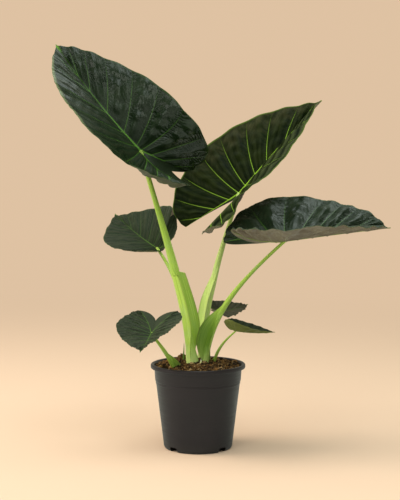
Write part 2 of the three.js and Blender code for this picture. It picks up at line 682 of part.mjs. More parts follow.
function addPiece(name, geometry, look) {
  const material = new THREE.MeshStandardMaterial({ ...look, metalness: 0 });
  const mesh = new THREE.Mesh(geometry, material);
  mesh.name = name;
  object.add(mesh);
}

addPiece('pot', toGeometry(potSolid()), looks.pot);

for (const [name, leaf] of Object.entries(leaves)) {
  const stalk = largest(stalkSolid(leaf).subtract(toSolid(bladeGeometry(leaf, gap))));
  addPiece(`stalk_${name}`, toGeometry(stalk), looks.stalk);
  addPiece(`blade_${name}`, bladeGeometry(leaf), leaf.length < 200 ? looks.youngBlade : looks.blade);
}

addPiece('crown', toGeometry(crownSolid()), looks.crown);
for (const [name, shoot] of Object.entries(shoots)) {
  addPiece(name, toGeometry(shootSolid(shoot)), looks.shoot);
}

const standing = [
  ...Object.values(leaves).map((leaf) => stalkSolid(leaf, holeGap)),
  crownSolid(gap),
  ...Object.values(shoots).map((shoot) => shootSolid(shoot, gap)),
];
addPiece('soil', toGeometry(soilSolid(standing)), looks.soil);

export default object;
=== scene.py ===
import math

import bpy
import numpy as np
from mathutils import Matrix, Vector


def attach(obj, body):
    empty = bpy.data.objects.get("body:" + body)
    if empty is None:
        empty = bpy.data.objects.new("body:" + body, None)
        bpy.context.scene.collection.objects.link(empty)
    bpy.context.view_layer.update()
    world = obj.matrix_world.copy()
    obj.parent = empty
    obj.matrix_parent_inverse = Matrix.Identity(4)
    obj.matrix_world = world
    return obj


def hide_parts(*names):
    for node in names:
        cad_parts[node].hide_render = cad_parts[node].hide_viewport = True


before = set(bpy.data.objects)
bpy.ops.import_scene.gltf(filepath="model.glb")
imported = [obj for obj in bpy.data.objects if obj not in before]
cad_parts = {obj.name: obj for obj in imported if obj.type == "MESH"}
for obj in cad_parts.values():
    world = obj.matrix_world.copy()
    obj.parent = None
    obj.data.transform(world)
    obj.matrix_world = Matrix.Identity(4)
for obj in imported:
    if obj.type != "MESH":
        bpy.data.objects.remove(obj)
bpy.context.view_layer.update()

mm = 0.001
print("alocasia: frame loaded,", len(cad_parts), "nodes")


# Small tools for arrays and meshes

def smooth(x, low, high):
    # an S-curve from 0 at low to 1 at high
    share = np.clip((x - low) / (high - low), 0, 1)
    return share * share * (3 - 2 * share)


def bezier(points, share):
    # a curve of 3 or 4 control points, each weighted by its Bernstein polynomial
    share = np.asarray(share, float)[..., None]
    rest = 1 - share
    if len(points) == 3:
        weights = [rest ** 2, 2 * rest * share, share ** 2]
    else:
        weights = [rest ** 3, 3 * rest ** 2 * share, 3 * rest * share ** 2, share ** 3]
    return sum(weight * np.asarray(point, float) for weight, point in zip(weights, points))


def ripples(x, y, seed, octaves=3):
    # smooth random hills between about -1 and 1: sine waves in random directions, each octave
    # twice as fine and half as high as the one before
    rng = np.random.default_rng(seed)
    total = 0
    for octave in range(octaves):
        for _ in range(4):
            angle, phase = rng.uniform(0, 2 * np.pi, 2)
            pitch = 2 ** octave * rng.uniform(0.7, 1.3)
            along = x * np.cos(angle) + y * np.sin(angle)
            total = total + np.sin(2 * np.pi * pitch * along + phase) / 2 ** octave
    return total / 4


def unit(vectors):
    # the same directions with a length of one
    return vectors / np.maximum(np.linalg.norm(vectors, axis=-1, keepdims=True), 1e-9)


def fullTurn(count):
    # evenly spaced angles of a full turn
    return np.linspace(0, 2 * np.pi, count, endpoint=False)


def ringPoints(radius, angle, z):
    # points round the Z axis
    return np.stack(np.broadcast_arrays(radius * np.cos(angle), radius * np.sin(angle), z), -1)


def gridTriangles(rows, columns, closed=False):
    # two triangles for each cell of a grid of points, wrapped round across the columns if closed
    index = np.arange(rows * columns).reshape(rows, columns)
    after = np.roll(index, -1, axis=1) if closed else index[:, 1:]
    here = index if closed else index[:, :-1]
    a, b, c, d = here[:-1].ravel(), after[:-1].ravel(), after[1:].ravel(), here[1:].ravel()
    return np.concatenate([np.stack([a, b, c], 1), np.stack([a, c, d], 1)])


def closedSkin(rings):
    # the points and triangles of a skin over rings of points, with a fan over each end
    rows, columns = rings.shape[:2]
    points = np.concatenate([rings.reshape(-1, 3), rings[0].mean(0)[None], rings[-1].mean(0)[None]])
    first, last = rows * columns, rows * columns + 1
    here = np.arange(columns)
    after = (here + 1) % columns
    low = np.stack([after, here, np.full(columns, first)], 1)
    high = np.stack([here, after, np.full(columns, last)], 1)
    high[:, :2] += (rows - 1) * columns
    return points, np.concatenate([gridTriangles(rows, columns, True), low, high])


def addObject(name, data):
    added = bpy.data.objects.new(name, data)
    bpy.context.scene.collection.objects.link(added)
    return added


def addPiece(node, points, triangles, materials, uv=None, fields=None, faceMaterial=None,
             sharpAngle=55):
    # a smooth-shaded mesh from points in mm, which rides on the only body and stands for its node
    mesh = bpy.data.meshes.new(f"{node}_fine")
    mesh.vertices.add(len(points))
    mesh.vertices.foreach_set("co", (np.asarray(points, float) * mm).ravel())
    mesh.loops.add(triangles.size)
    mesh.loops.foreach_set("vertex_index", triangles.ravel().astype(np.int32))
    mesh.polygons.add(len(triangles))
    mesh.polygons.foreach_set("loop_start", np.arange(0, triangles.size, 3, dtype=np.int32))
    mesh.update(calc_edges=True)
    if uv is not None:
        layer = mesh.uv_layers.new(name="surface")
        layer.data.foreach_set("uv", uv[triangles.ravel()].astype(np.float32).ravel())
    for label, values in (fields or {}).items():
        attribute = mesh.attributes.new(label, "FLOAT", "POINT")
        attribute.data.foreach_set("value", np.asarray(values, np.float32).ravel())
    for material in materials:
        mesh.materials.append(material)
    if faceMaterial is not None:
        mesh.polygons.foreach_set("material_index", np.asarray(faceMaterial, np.int32))
    mesh.shade_smooth()
    mesh.set_sharp_from_angle(angle=math.radians(sharpAngle))
    piece = addObject(mesh.name, mesh)
    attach(piece, "root")
    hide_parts(node)
    return piece


# Small tools for materials

def setInputs(node, values):
    # each input is linked from a socket or set to a value
    for key, value in values.items():
        if isinstance(value, bpy.types.NodeSocket):
            node.id_data.links.new(value, node.inputs[key])
        else:
            node.inputs[key].default_value = value
    return node


def addNode(tree, kind, inputs=None, **settings):
    added = tree.nodes.new(kind)
    for key, value in settings.items():
        setattr(added, key, value)
    return setInputs(added, inputs or {})


def addMath(tree, operation, *values):
    return addNode(tree, "ShaderNodeMath", dict(enumerate(values)), operation=operation).outputs[0]


def addRange(tree, value, low, high, start=0.0, end=1.0):
    # an S-curve from start at low to end at high
    inputs = {"Value": value, "From Min": low, "From Max": high, "To Min": start, "To Max": end}
    return addNode(tree, "ShaderNodeMapRange", inputs, interpolation_type="SMOOTHSTEP").outputs[0]


def addMix(tree, share, first, second):
    # colours as (r, g, b) or sockets
    first, second = ((*colour, 1) if isinstance(colour, tuple) else colour for colour in (first, second))
    return addNode(tree, "ShaderNodeMix", {0: share, 6: first, 7: second}, data_type="RGBA").outputs[2]


def addLayers(tree, colour, *layers):
    # each layer covers the colour below it by its share times its strength
    for share, strength, over in layers:
        colour = addMix(tree, addMath(tree, "MULTIPLY", share, strength), colour, over)
    return colour


def addField(tree, name):
    return addNode(tree, "ShaderNodeAttribute", attribute_name=name).outputs["Fac"]


def addPlace(tree):
    # the point of the object, in m
    return addNode(tree, "ShaderNodeTexCoord").outputs["Object"]


def splitVector(tree, vector):
    return addNode(tree, "ShaderNodeSeparateXYZ", {0: vector}).outputs


def addNoise(tree, vector, scale, detail=3.0, roughness=0.55):
    inputs = {"Vector": vector, "Scale": scale, "Detail": detail, "Roughness": roughness}
    return addNode(tree, "ShaderNodeTexNoise", inputs).outputs["Fac"]


def addBump(tree, height, depth):
    # depth in mm
    inputs = {"Height": height, "Distance": depth * mm, "Strength": 1.0}
    return addNode(tree, "ShaderNodeBump", inputs).outputs["Normal"]


def startMaterial(name, values):
    # an empty material with its Principled shader, whose plain numbers are set on its own sockets
    material = bpy.data.materials.new(name)
    material.use_nodes = True
    tree = material.node_tree
    return material, tree, setInputs(tree.nodes["Principled BSDF"], values)


def makeVeinGroup():
    # masks of a blade: its midrib, its lateral veins, the pale band beside them, the fine lines that
    # run with the veins, broad blotches and a grain; and how far along the veins' count the place is
    group = bpy.data.node_groups.new("bladeVeins", "ShaderNodeTree")
    kinds = {"Plan": "Vector", "Place": "Vector", "Rib Ratio": "Float", "Vein Ratio": "Float",
             "Line Count": "Float"}
    for label, kind in kinds.items():
        group.interface.new_socket(name=label, in_out="INPUT", socket_type="NodeSocket" + kind)
    source = group.nodes.new("NodeGroupInput").outputs
    place, phase = source["Place"], splitVector(group, source["Plan"])["X"]
    waver = addMath(group, "MULTIPLY", addNoise(group, place, 60, 2), 5.0)
    turns = addMath(group, "MULTIPLY", phase, source["Line Count"])
    angle = addMath(group, "MULTIPLY_ADD", turns, 2 * math.pi, waver)
    masks = {
        "Rib": addRange(group, source["Rib Ratio"], 0.55, 1.05, 1, 0),
        "Vein": addRange(group, source["Vein Ratio"], 0.35, 1.1, 1, 0),
        "Halo": addRange(group, source["Vein Ratio"], 0.8, 6.5, 1, 0),
        "Lines": addMath(group, "MULTIPLY_ADD", addMath(group, "SINE", angle), 0.5, 0.5),
        "Blotch": addNoise(group, place, 22, 4, 0.6),
        "Grain": addNoise(group, place, 950, 2, 0.6),
        "Phase": phase,
    }
    for label in masks:
        group.interface.new_socket(name=label, in_out="OUTPUT", socket_type="NodeSocketFloat")
    setInputs(group.nodes.new("NodeGroupOutput"), masks)
    return group


veinGroup = makeVeinGroup()


def addVeins(tree, lineCount):
    # the group's masks, fed by the blade's own UV map and fields
    inputs = {"Plan": addNode(tree, "ShaderNodeUVMap", uv_map="surface").outputs[0],
              "Place": addPlace(tree), "Rib Ratio": addField(tree, "ribRatio"),
              "Vein Ratio": addField(tree, "veinRatio"), "Line Count": lineCount}
    return addNode(tree, "ShaderNodeGroup", inputs, node_tree=veinGroup).outputs


# Leaf blades: the plan of the blade, then its place

bend = 0.62  # the place along the margin that is level with the junction; 0 is the tip, 1 the lobe's end
ribWidth = 6  # mm over which the two halves round into the midrib
lobeRound = 12  # mm over which the lobes' droops round into each other
largeLength = 100  # mm from junction to tip, past which a blade has the fine grid

# the lateral veins leave the rib and meet the left and right margin at these places
youngVeins = {
    "rib": (0.13, 0.26, 0.39, 0.5, 0.57, 0.62, 0.69, 0.8, 0.9),
    "margins": ((0.13, 0.25, 0.37, 0.47, 0.56, 0.64, 0.73, 0.83, 0.92),) * 2,
}

# Lengths are in mm and angles in degrees. A pair is for the left and the right half, and a triple for
# the lobe's end, the junction and the tip. Swell and wave are strengths of harmonics along the
# margin. A stalk is a cubic from foot by rise and reach to the junction, with its radii in girth, and
# the start, full, end and torn of its sheath are shares of it.
# A sheath's shade and wingShade set how strong its painted shade is inside it and on its wings.
plainLeaf = {
    "joined": 0.25,  # share of the lobes' ribs along which the two lobes are one
    "webbed": False,  # whether the skin between the lobes is taut
    "nakedCosta": 0,  # share by which the inner margin keeps to the lobe's rib
    "ribSeen": (1, 1),  # share of the lobe along which its rib shows
    "belly": (0, 0),  # sag of the half
    "pucker": (1, 1),  # share of the full relief
    "lengthwise": (),  # sides whose pleats run along the blade
    "paleEdge": (0, 0),  # share of the full colour
    "frill": 1.3,  # fine wave at the margin
    "pale": 0,  # share of the stalk's pale colour
}
largeLeaf = dict(plainLeaf, quilt=5, ribs=4.5, drip=6)
youngLeaf = dict(plainLeaf, veins=youngVeins, drip=4, puff=1.2, wrinkle=0.05, dusk=(0.3, 0.3), frill=0.585)
smallLeaf = dict(
    youngLeaf, nakedCosta=0.4, puff=0.3, wrinkle=0.02, lumps=0.3, folds=0.2, branch=0.06,
    pleat=(0.25, 0.25), dusk=(0.5, 0.5), scallop=0.6, ribHalf=0.7, veinHalf=0.4,
    sheath={"shade": 0.4, "face": (-1, -0.8, 0.5), "width": (3, 3), "start": 0.05, "full": 0.15,
            "end": 0.3, "torn": 0.15, "wrap": 6},
)
leaves = {
    "upper_left": dict(
        largeLeaf, junction=(-127, 20, 659), heading=184.5, pitch=46.5, roll=-65,
        length=293, lobe=114, halfWidth=(141, 141), lobeSpread=(78, 73), sinus=77,
        joined=0.68, webbed=True, ribSeen=(0.85, 0.42), droop=6, lobeDroop=(7, 58), sweep=-14,
        fullness=(2, 1.57), fold=((90, 43, 6), (6, 36, 13)), curl=((-10, 17, 22), (17, 24, 1)),
        swell=((0.05, 0.04, 0.03), (0.015, 0.02, 0.01)), wave=((-8, 8, -8, -1, 2), (1, -4, 7, -1, -4)),
        belly=(22, 0), drip=5.9,
        veins={
            "rib": (0.17, 0.26, 0.385, 0.505, 0.59, 0.62, 0.7, 0.79, 0.878),
            "margins": ((0.15, 0.23, 0.33, 0.42, 0.5, 0.6, 0.71, 0.81, 0.91),
                        (0.19, 0.29, 0.385, 0.475, 0.55, 0.62, 0.71, 0.81, 0.91)),
        },
        pucker=(0.25, 1), puff=3.4, wrinkle=0.65, lumps=2.1, folds=1.9, branch=0.9, pleat=(0.5, 0.1),
        dusk=(0.2, 0.1), paleEdge=(0.9, 0), scallop=2.4, ribHalf=2.6, veinHalf=1.1, seed=11,
        foot=(-11, -18), rise=(-15, -14, 291), reach=(-58, 2, 423),
        girth=(16.5, 11.5, 10, 10, 8, 5.8, 4.8),
        sheath={"shade": 0.12, "face": (1, -0.35, 0.2), "width": (24, 19), "start": 0.06, "full": 0.3,
                "end": 0.55, "torn": 0.02, "wrap": 16, "taper": 0.33},
    ),
    "upper_right": dict(
        largeLeaf, junction=(94, 110, 563), heading=-2, pitch=50, roll=34,
        length=277, lobe=135, halfWidth=(142, 139), lobeSpread=(62, 63), sinus=21,
        nakedCosta=1, lengthwise=(1,), droop=4, lobeDroop=(16, -30), sweep=0,
        fullness=(2, 1.4), fold=((29, 27, 20), (18, 38, 18)), curl=((12, 7, 9), (0, 16, -10)),
        swell=((0.02, -0.05, 0), (0.02, -0.05, 0.03)), wave=((-1, 0, 5, -5, 3), (-15, 9, 9, -7, 4)),
        belly=(0, 16), quilt=4.5,
        veins={
            "rib": (0.13, 0.265, 0.405, 0.495, 0.57, 0.62, 0.7, 0.81, 0.905),
            "margins": ((0.12, 0.25, 0.375, 0.467, 0.55, 0.61, 0.7, 0.8, 0.93),) * 2,
        },
        pucker=(1, 0.8), puff=2.2, wrinkle=0.12, lumps=1.7, folds=1.1, branch=0.3, pleat=(0.12, 0.6),
        dusk=(1, 0), scallop=1.6, ribHalf=2.7, veinHalf=1.15, seed=23,
        pale=0.5, foot=(7, 11), rise=(2, 16, 287), reach=(44, 60, 409), girth=(8.5, 9, 8.6, 5.4, 3.8),
        sheath={"shade": 0.1, "face": (-1, -0.5, 0.2), "width": (13, 13), "start": 0.04, "full": 0.26,
                "end": 0.66, "torn": 0.26, "wrap": 12},
    ),
    "right": dict(
        largeLeaf, junction=(192, -30, 464), heading=-2, pitch=7.5, roll=15.5,
        length=223, lobe=131, halfWidth=(129, 127), lobeSpread=(60, 62), sinus=42,
        nakedCosta=0.2, droop=2, lobeDroop=(28, -25), sweep=2,
        fullness=(1.8, 1.73), fold=((21, 28, 35), (35, 26, 25)), curl=((8, 4, 0), (-1, 3, 10)),
        swell=((0.02, 0.01, 0.02), (0.03, -0.01, 0)), wave=((1, 1, 1, 0, -3), (-1, 1, -1, 2, 0)),
        ribs=4,
        veins={
            "rib": (0.13, 0.25, 0.37, 0.46, 0.55, 0.62, 0.69, 0.8, 0.9),
            "margins": ((0.12, 0.24, 0.35, 0.42, 0.49, 0.6, 0.72, 0.83, 0.92),) * 2,
        },
        puff=4.4, wrinkle=0.8, lumps=2.6, folds=2.2, branch=1.4, pleat=(0.1, 0.3),
        dusk=(0.1, 0.1), scallop=2.4, ribHalf=2.4, veinHalf=0.95, seed=37,
        foot=(14, -16), rise=(14, -22, 281), reach=(74, -26, 358), girth=(8, 7.6, 6.4, 4, 3.4),
        sheath={"shade": 0.95, "face": (-1, -0.75, 0.4), "width": (5, 24), "start": 0.03, "full": 0.24,
                "end": 0.54, "torn": 0.26, "wrap": 15},
    ),
    "middle_left": dict(
        youngLeaf, junction=(-97, 180, 432), heading=133, pitch=20, roll=-31.5,
        length=187, lobe=46, halfWidth=(104, 103), lobeSpread=(38, 38), sinus=24,
        nakedCosta=0.8, droop=-2, lobeDroop=(-44, -45), sweep=-11,
        fullness=(2.2, 1.58), fold=((29, 24, 7), (22, 37, -3)), curl=((10, 14, -1), (10, 21, 4)),
        swell=((0.02, 0.03, -0.04), (0.01, 0.01, -0.04)), wave=((-1, 0, -1, 1, 0), (0, -2, 0, -1, -2)),
        quilt=2.5, ribs=3, lumps=1.2, folds=0.6, branch=0.15, pleat=(0.3, 0.2), frill=1.3,
        scallop=1.6, ribHalf=1.15, veinHalf=0.7, seed=41,
        foot=(-11, 17), rise=(-18, 30, 314), reach=(-55, 100, 382), girth=(7, 6.6, 5.6, 4, 3.2),
        sheath={"shade": 0.4, "face": (1, -1, 0.3), "width": (4, 4), "start": 0.03, "full": 0.15,
                "end": 0.35, "torn": 0.1, "wrap": 9},
    ),
    "lower_left": dict(
        youngLeaf, junction=(-100, -95, 269), heading=-109, pitch=-34, roll=5.5,
        length=64, lobe=58, halfWidth=(75, 77), lobeSpread=(43, 38), sinus=35,
        droop=-8, lobeDroop=(-19, -22), sweep=-3,
        fullness=(1.66, 1.85), fold=((2, 17, 27), (12, 19, 14)), curl=((-2, 7, 4), (3, 9, 3)),
        swell=((-0.01, 0, -0.02), (0, -0.01, -0.02)), wave=((0, 1, 1, 0, 0), (0, 0, 1, 1, 0)),
        quilt=1.8, ribs=2, lumps=1.3, folds=0.7, branch=0.2, pleat=(0.9, 0.9), frill=1.8,
        scallop=1.2, ribHalf=1.1, veinHalf=0.6, seed=53,
        foot=(-44, -42), rise=(-61, -52, 214), reach=(-86, -72, 242), girth=(5.2, 5, 4.2, 3.2, 2.6),
        sheath={"shade": 0.9, "wingShade": 0.85, "face": (1, -0.6, 0.7), "width": (14, 4),
                "start": -0.1, "full": 0.06, "end": 0.5, "torn": 0.4, "wrap": 12},
    ),
    "small_back": dict(
        smallLeaf, junction=(55, 90, 294), heading=11, pitch=1.5, roll=22,
        length=61, lobe=32, halfWidth=(34, 37), lobeSpread=(16, 15), sinus=8,
        droop=-23, lobeDroop=(-5, -17), sweep=5,
        fullness=(1.63, 1.96), fold=((18, 15, 11), (31, 8, 6)), curl=((7, 6, 3), (11, 0, 1)),
        swell=((-0.02, -0.01, -0.01), (0.03, 0.02, 0)), wave=((0, 0, 0, 0, 0), (-1, 0, 0, 0, 0)),
        quilt=1.2, ribs=1.4, drip=2, frill=3, seed=61,
        foot=(17, 27), rise=(24, 42, 246), reach=(42, 72, 268), girth=(3.8, 3.6, 3, 2.4, 1.9),
    ),
    "small_front": dict(
        smallLeaf, junction=(83, -60, 269), heading=-10, pitch=-8.5, roll=-1.5,
        length=82, lobe=27, halfWidth=(39, 40), lobeSpread=(25, 24), sinus=10,
        droop=-15, lobeDroop=(0, 0), sweep=1,
        fullness=(1.67, 1.6), fold=((37, 30, 27), (41, 32, 20)), curl=((9, 1, 3), (12, 4, -2)),
        swell=((-0.01, 0, 0), (-0.01, -0.01, 0.01)), wave=((0, 0, 0, 0, 0), (0, 0, 1, 0, 0)),
        quilt=1.3, ribs=1.5, drip=2.5, seed=71,
        foot=(30, 4), rise=(38, -18, 226), reach=(63, -46, 249), girth=(4, 3.6, 2.8, 2.1, 1.7),
    ),
}


def isLarge(leaf):
    # picks the small or the large value of bladeLook
    return leaf["length"] > largeLength


def harmonics(strengths, t):
    # a sum of sines with one, two, three and more half waves from 0 to 1
    return sum(strength * np.sin((i + 1) * np.pi * t) for i, strength in enumerate(strengths))


def alongLobe(t):
    # 0 at the junction, 1 at the lobe's end
    return (t - bend) / (1 - bend)


def veinPhases(leaf, side):
    # whole numbers at the veins, 0 at the tip and 10 at the lobe's end, for rib and margin
    rib = (0, *leaf["veins"]["rib"], 1)
    return np.arange(len(rib)), rib, (0, *leaf["veins"]["margins"][side], 1)


def ribAt(leaf, side, t):
    # a straight midrib from the tip to the junction, then the lobe's own rib as a parabola
    lobe, spread = leaf["lobe"], leaf["lobeSpread"][side]
    midrib = np.stack([leaf["length"] * (1 - t / bend), 0 * t], -1)
    curve = [(0, 0), (-0.45 * lobe, 0.3 * spread), (-lobe, spread)]
    return np.where((t < bend)[..., None], midrib, bezier(curve, np.clip(alongLobe(t), 0, 1)))


def marginAt(leaf, side, t):
    # a superellipse-like edge from the tip to the widest place, then a cubic round the lobe, and
    # both swelled by a few harmonics
    lobe, spread, width = leaf["lobe"], leaf["lobeSpread"][side], leaf["halfWidth"][side]
    x = 1 - np.clip(t / bend, 0, 1) ** 2.4
    front = np.stack([leaf["length"] * x, width * (1 - x ** leaf["fullness"][side]) ** 0.85], -1)
    corners = [(0, width), (-0.62 * lobe, width), (-lobe, (spread + width) / 2), (-lobe, spread)]
    edge = np.where((t < bend)[..., None], front, bezier(corners, np.clip(alongLobe(t), 0, 1)))
    rib = ribAt(leaf, side, t)
    return rib + (edge - rib) * (1 + harmonics(leaf["swell"][side], t))[..., None]


def innerMarginAt(leaf, side, u):
    # a cubic from the sinus to the lobe's end, drawn towards the lobe's rib where that is naked
    lobe, spread, sinus = leaf["lobe"], leaf["lobeSpread"][side], leaf["sinus"]
    inward = (-sinus - 0.35 * (lobe - sinus), 0.02 * spread)
    full = bezier([(-sinus, 0), inward, (-lobe, 0.45 * spread), (-lobe, spread)], u)
    naked = bezier([(-sinus, 0), (-0.45 * lobe, 0.3 * spread), (-lobe, spread)], u)
    return full + (naked - full) * leaf["nakedCosta"]


def placeBlade(leaf, side, flat, off):
    # each half folds and curls about the midrib as an arc, the midrib and the lobes droop as arcs,
    # and the leaf turns to its heading, pitch and roll; off is out of the surface
    x, across = flat[..., 0], np.abs(flat[..., 1])
    ahead = np.clip(x / leaf["length"], 0, 1.1)
    behind = np.clip(-x / leaf["lobe"], 0, 1.2)

    def at(angles):
        back, middle, tip = np.radians(angles)
        return middle + (tip - middle) * ahead + (back - middle) * behind

    def neverZero(angle):
        return np.where(np.abs(angle) < 1e-3, 1e-3, angle)

    fold = at(leaf["fold"][side]) * across / np.hypot(across, ribWidth)
    curl = neverZero(at(leaf["curl"][side]))
    turn = fold + curl * across / leaf["halfWidth"][side]
    radius = leaf["halfWidth"][side] / curl
    out = radius * (np.sin(turn) - np.sin(fold)) - off * np.sin(turn)
    up = radius * (np.cos(fold) - np.cos(turn)) + off * np.cos(turn)

    front = x >= 0
    droop = neverZero(np.radians(leaf["droop"]))
    middleDroop = np.radians(sum(leaf["lobeDroop"])) / 2
    ownDroop = np.radians(leaf["lobeDroop"][side])
    lobeDroop = neverZero(middleDroop + (ownDroop - middleDroop) * across / (across + lobeRound))
    slope = np.where(front, droop * ahead, -lobeDroop * behind)
    size = np.where(front, leaf["length"] / droop, leaf["lobe"] / lobeDroop)
    angle = np.where(front, slope, -slope)
    along = np.where(front, 1, -1) * size * np.sin(angle) + up * np.sin(slope)
    rise = -size * (1 - np.cos(angle)) + up * np.cos(slope)
    sweep = np.where(front, leaf["length"] * ahead ** 2 * np.radians(leaf["sweep"]) / 2, 0)
    sideways = (1 if side == 0 else -1) * out + sweep

    heading, pitch, roll = np.radians([leaf["heading"], leaf["pitch"], leaf["roll"]])
    forward = np.array([np.cos(pitch) * np.cos(heading), np.cos(pitch) * np.sin(heading), np.sin(pitch)])
    level = np.array([-np.sin(heading), np.cos(heading), 0])
    upright = np.cross(forward, level)
    left = level * np.cos(roll) + upright * np.sin(roll)
    top = upright * np.cos(roll) - level * np.sin(roll)
    return (np.array(leaf["junction"]) + along[..., None] * forward + sideways[..., None] * left
            + rise[..., None] * top)


def placeWeb(leaf, side, phases, shares, off):
    # where the lobes are one nearly to their ends, the skin between them is drawn taut: straight lines
    # from rib to rib, which fall back to each rib past the sinus
    stops, ribStops, _ = veinPhases(leaf, side)

    def ribs(places):
        t = np.interp(places, stops, ribStops)
        return [placeBlade(leaf, half, ribAt(leaf, half, t), 0)[:, None] for half in (side, 1 - side)]

    def on(places):
        u = alongLobe(np.interp(places, stops, ribStops))
        reach = np.minimum(1, (1 - u) / (1 - leaf["joined"])) ** 1.2
        own, other = ribs(places)
        return own + (other - own) * (0.5 * reach[:, None] * shares)[..., None]

    own, other = ribs(phases)
    out = unit(np.cross(on(np.minimum(phases + 0.05, stops[-1])) - on(phases - 0.05), other - own))
    return on(phases) + out * (off if side == 0 else -off)[..., None]


# Leaf blades: the fine surface

bladeLook = {  # a pair is for a small and a large blade
    "rows": (10, 24),  # of the grid, from one vein to the next
    "columns": (26, 84),  # from the midrib to the margin
    "thickness": (0.44, 0.55),  # mm
    "sink": ((0.25, 1.1), (0.5, 2.2)),  # mm, depth and half width of the furrow along a vein
    "span": (0.45, 1),  # size of the puckers
    "branchPitch": 13,  # mm between the grooves that branch from a vein on a large blade
    "branchSlope": 1.15,  # mm that they run towards the margin for each mm away from the vein
    "wrinklePitch": 6.4,  # mm between the short wrinkles beside a vein
    "pleats": 3,  # from one vein to the next
}


def bladeRelief(leaf, side, phase, w, t, flat, reach, away, inBlade):
    # the height in mm of a half: its wave, its sag, cushions between the veins with lumps and folds on
    # them, grooves that branch from each vein towards the margin, short wrinkles across it, pleats
    # along it and a frill; and the fields for its looks
    look, seed, span = bladeLook, leaf["seed"] + side, bladeLook["span"][isLarge(leaf)]
    x, y = flat[..., 0] / span, flat[..., 1] / span
    cushion, shape = np.sin(np.pi * phase) ** 2, 4 * w * (1 - 0.75 * w)
    rough = leaf["pucker"][side] * inBlade

    def hills(pitch, ownSeed, octaves):
        return ripples(x / pitch, y / pitch, seed + ownSeed, octaves)

    sag = leaf["belly"][side] * 16 * (w * (1 - w)) ** 2 * smooth(t, 0.45, 0.7) * (1 - smooth(t, 0.9, 1))
    height = leaf["quilt"] * cushion * inBlade * shape * 0.5
    height = height + harmonics(leaf["wave"][side], t) * w * w - sag
    height += leaf["puff"] * cushion * (4 * w * (1 - w)) ** 0.7 * rough
    height += leaf["lumps"] * hills(30, 0, 1) * cushion ** 0.7 * shape * rough
    folds = ripples(2.2 * phase, w * 2.8, seed + 21, 2)
    height += leaf["folds"] * folds * cushion ** 0.7 * rough * smooth(w, 0, 0.15) * (1 - 0.6 * w)

    patchy = np.clip(0.75 + 0.6 * hills(60, 9, 1), 0.1, 1.3)
    wander = hills(40, 5, 2)
    branch = (w * reach - look["branchSlope"] * away) / (look["branchPitch"] * span)
    ridge = np.abs(np.sin(np.pi * (branch + 0.35 * wander)))
    beside = smooth(w, 0.2, 0.5) * (1 - 0.5 * smooth(w, 0.9, 1))
    beside *= 1 - smooth(np.abs(phase - np.round(phase)), 0.26, 0.5)
    beside = beside * smooth(away / span, 0.3, 2) * rough * patchy
    height -= leaf["branch"] * beside * (1 - ridge)
    # painted shade: how deep the place lies in a branching groove, which darkens the upper side's colour
    # there
    groove = beside * (1 - ridge) ** 2

    slant = (w * reach - 0.4 * away) / (look["wrinklePitch"] * span) + 1.1 * wander
    beside = smooth(away / span, 0.5, 3) * (1 - smooth(away / span, 6, 15)) * smooth(w, 0.08, 0.3)
    height += leaf["wrinkle"] * (np.sin(2 * np.pi * slant) * beside * rough * patchy)

    turns = look["pleats"] * phase + 0.35 * ripples(phase / 2, w * 1.5, seed + 31, 2)
    if side in leaf["lengthwise"]:
        turns = 4.2 * w + 0.1 * phase + 0.3 * ripples(phase / 2, w * 2, seed + 31, 2)
    pleat = 0.5 + 0.5 * np.sin(2 * np.pi * turns) * inBlade
    height += leaf["pleat"][side] * (2 * pleat - 1) * smooth(w, 0.03, 0.3)
    frill = ripples(t * 9, 0 * t, seed + 13, 2) * smooth(t, 0.03, 0.12)
    height += leaf["frill"] * w ** 7 * frill

    zone = np.clip(0.6 + 0.6 * hills(30, 17, 3), 0, 1) * leaf["dusk"][side]
    zone *= smooth(w, 0.5, 0.92) * smooth(t, 0, 0.1) * (1 - smooth(t, 0.5, 0.75))
    paleEdge = smooth(w, 0.93, 0.98) * smooth(t, 0.14, 0.22) * (1 - smooth(t, 0.46, 0.56))
    return height, {"groove": groove, "pleat": pleat * min(1, 2 * leaf["pleat"][side]), "zone": zone,
                    "paleEdge": leaf["paleEdge"][side] * paleEdge}


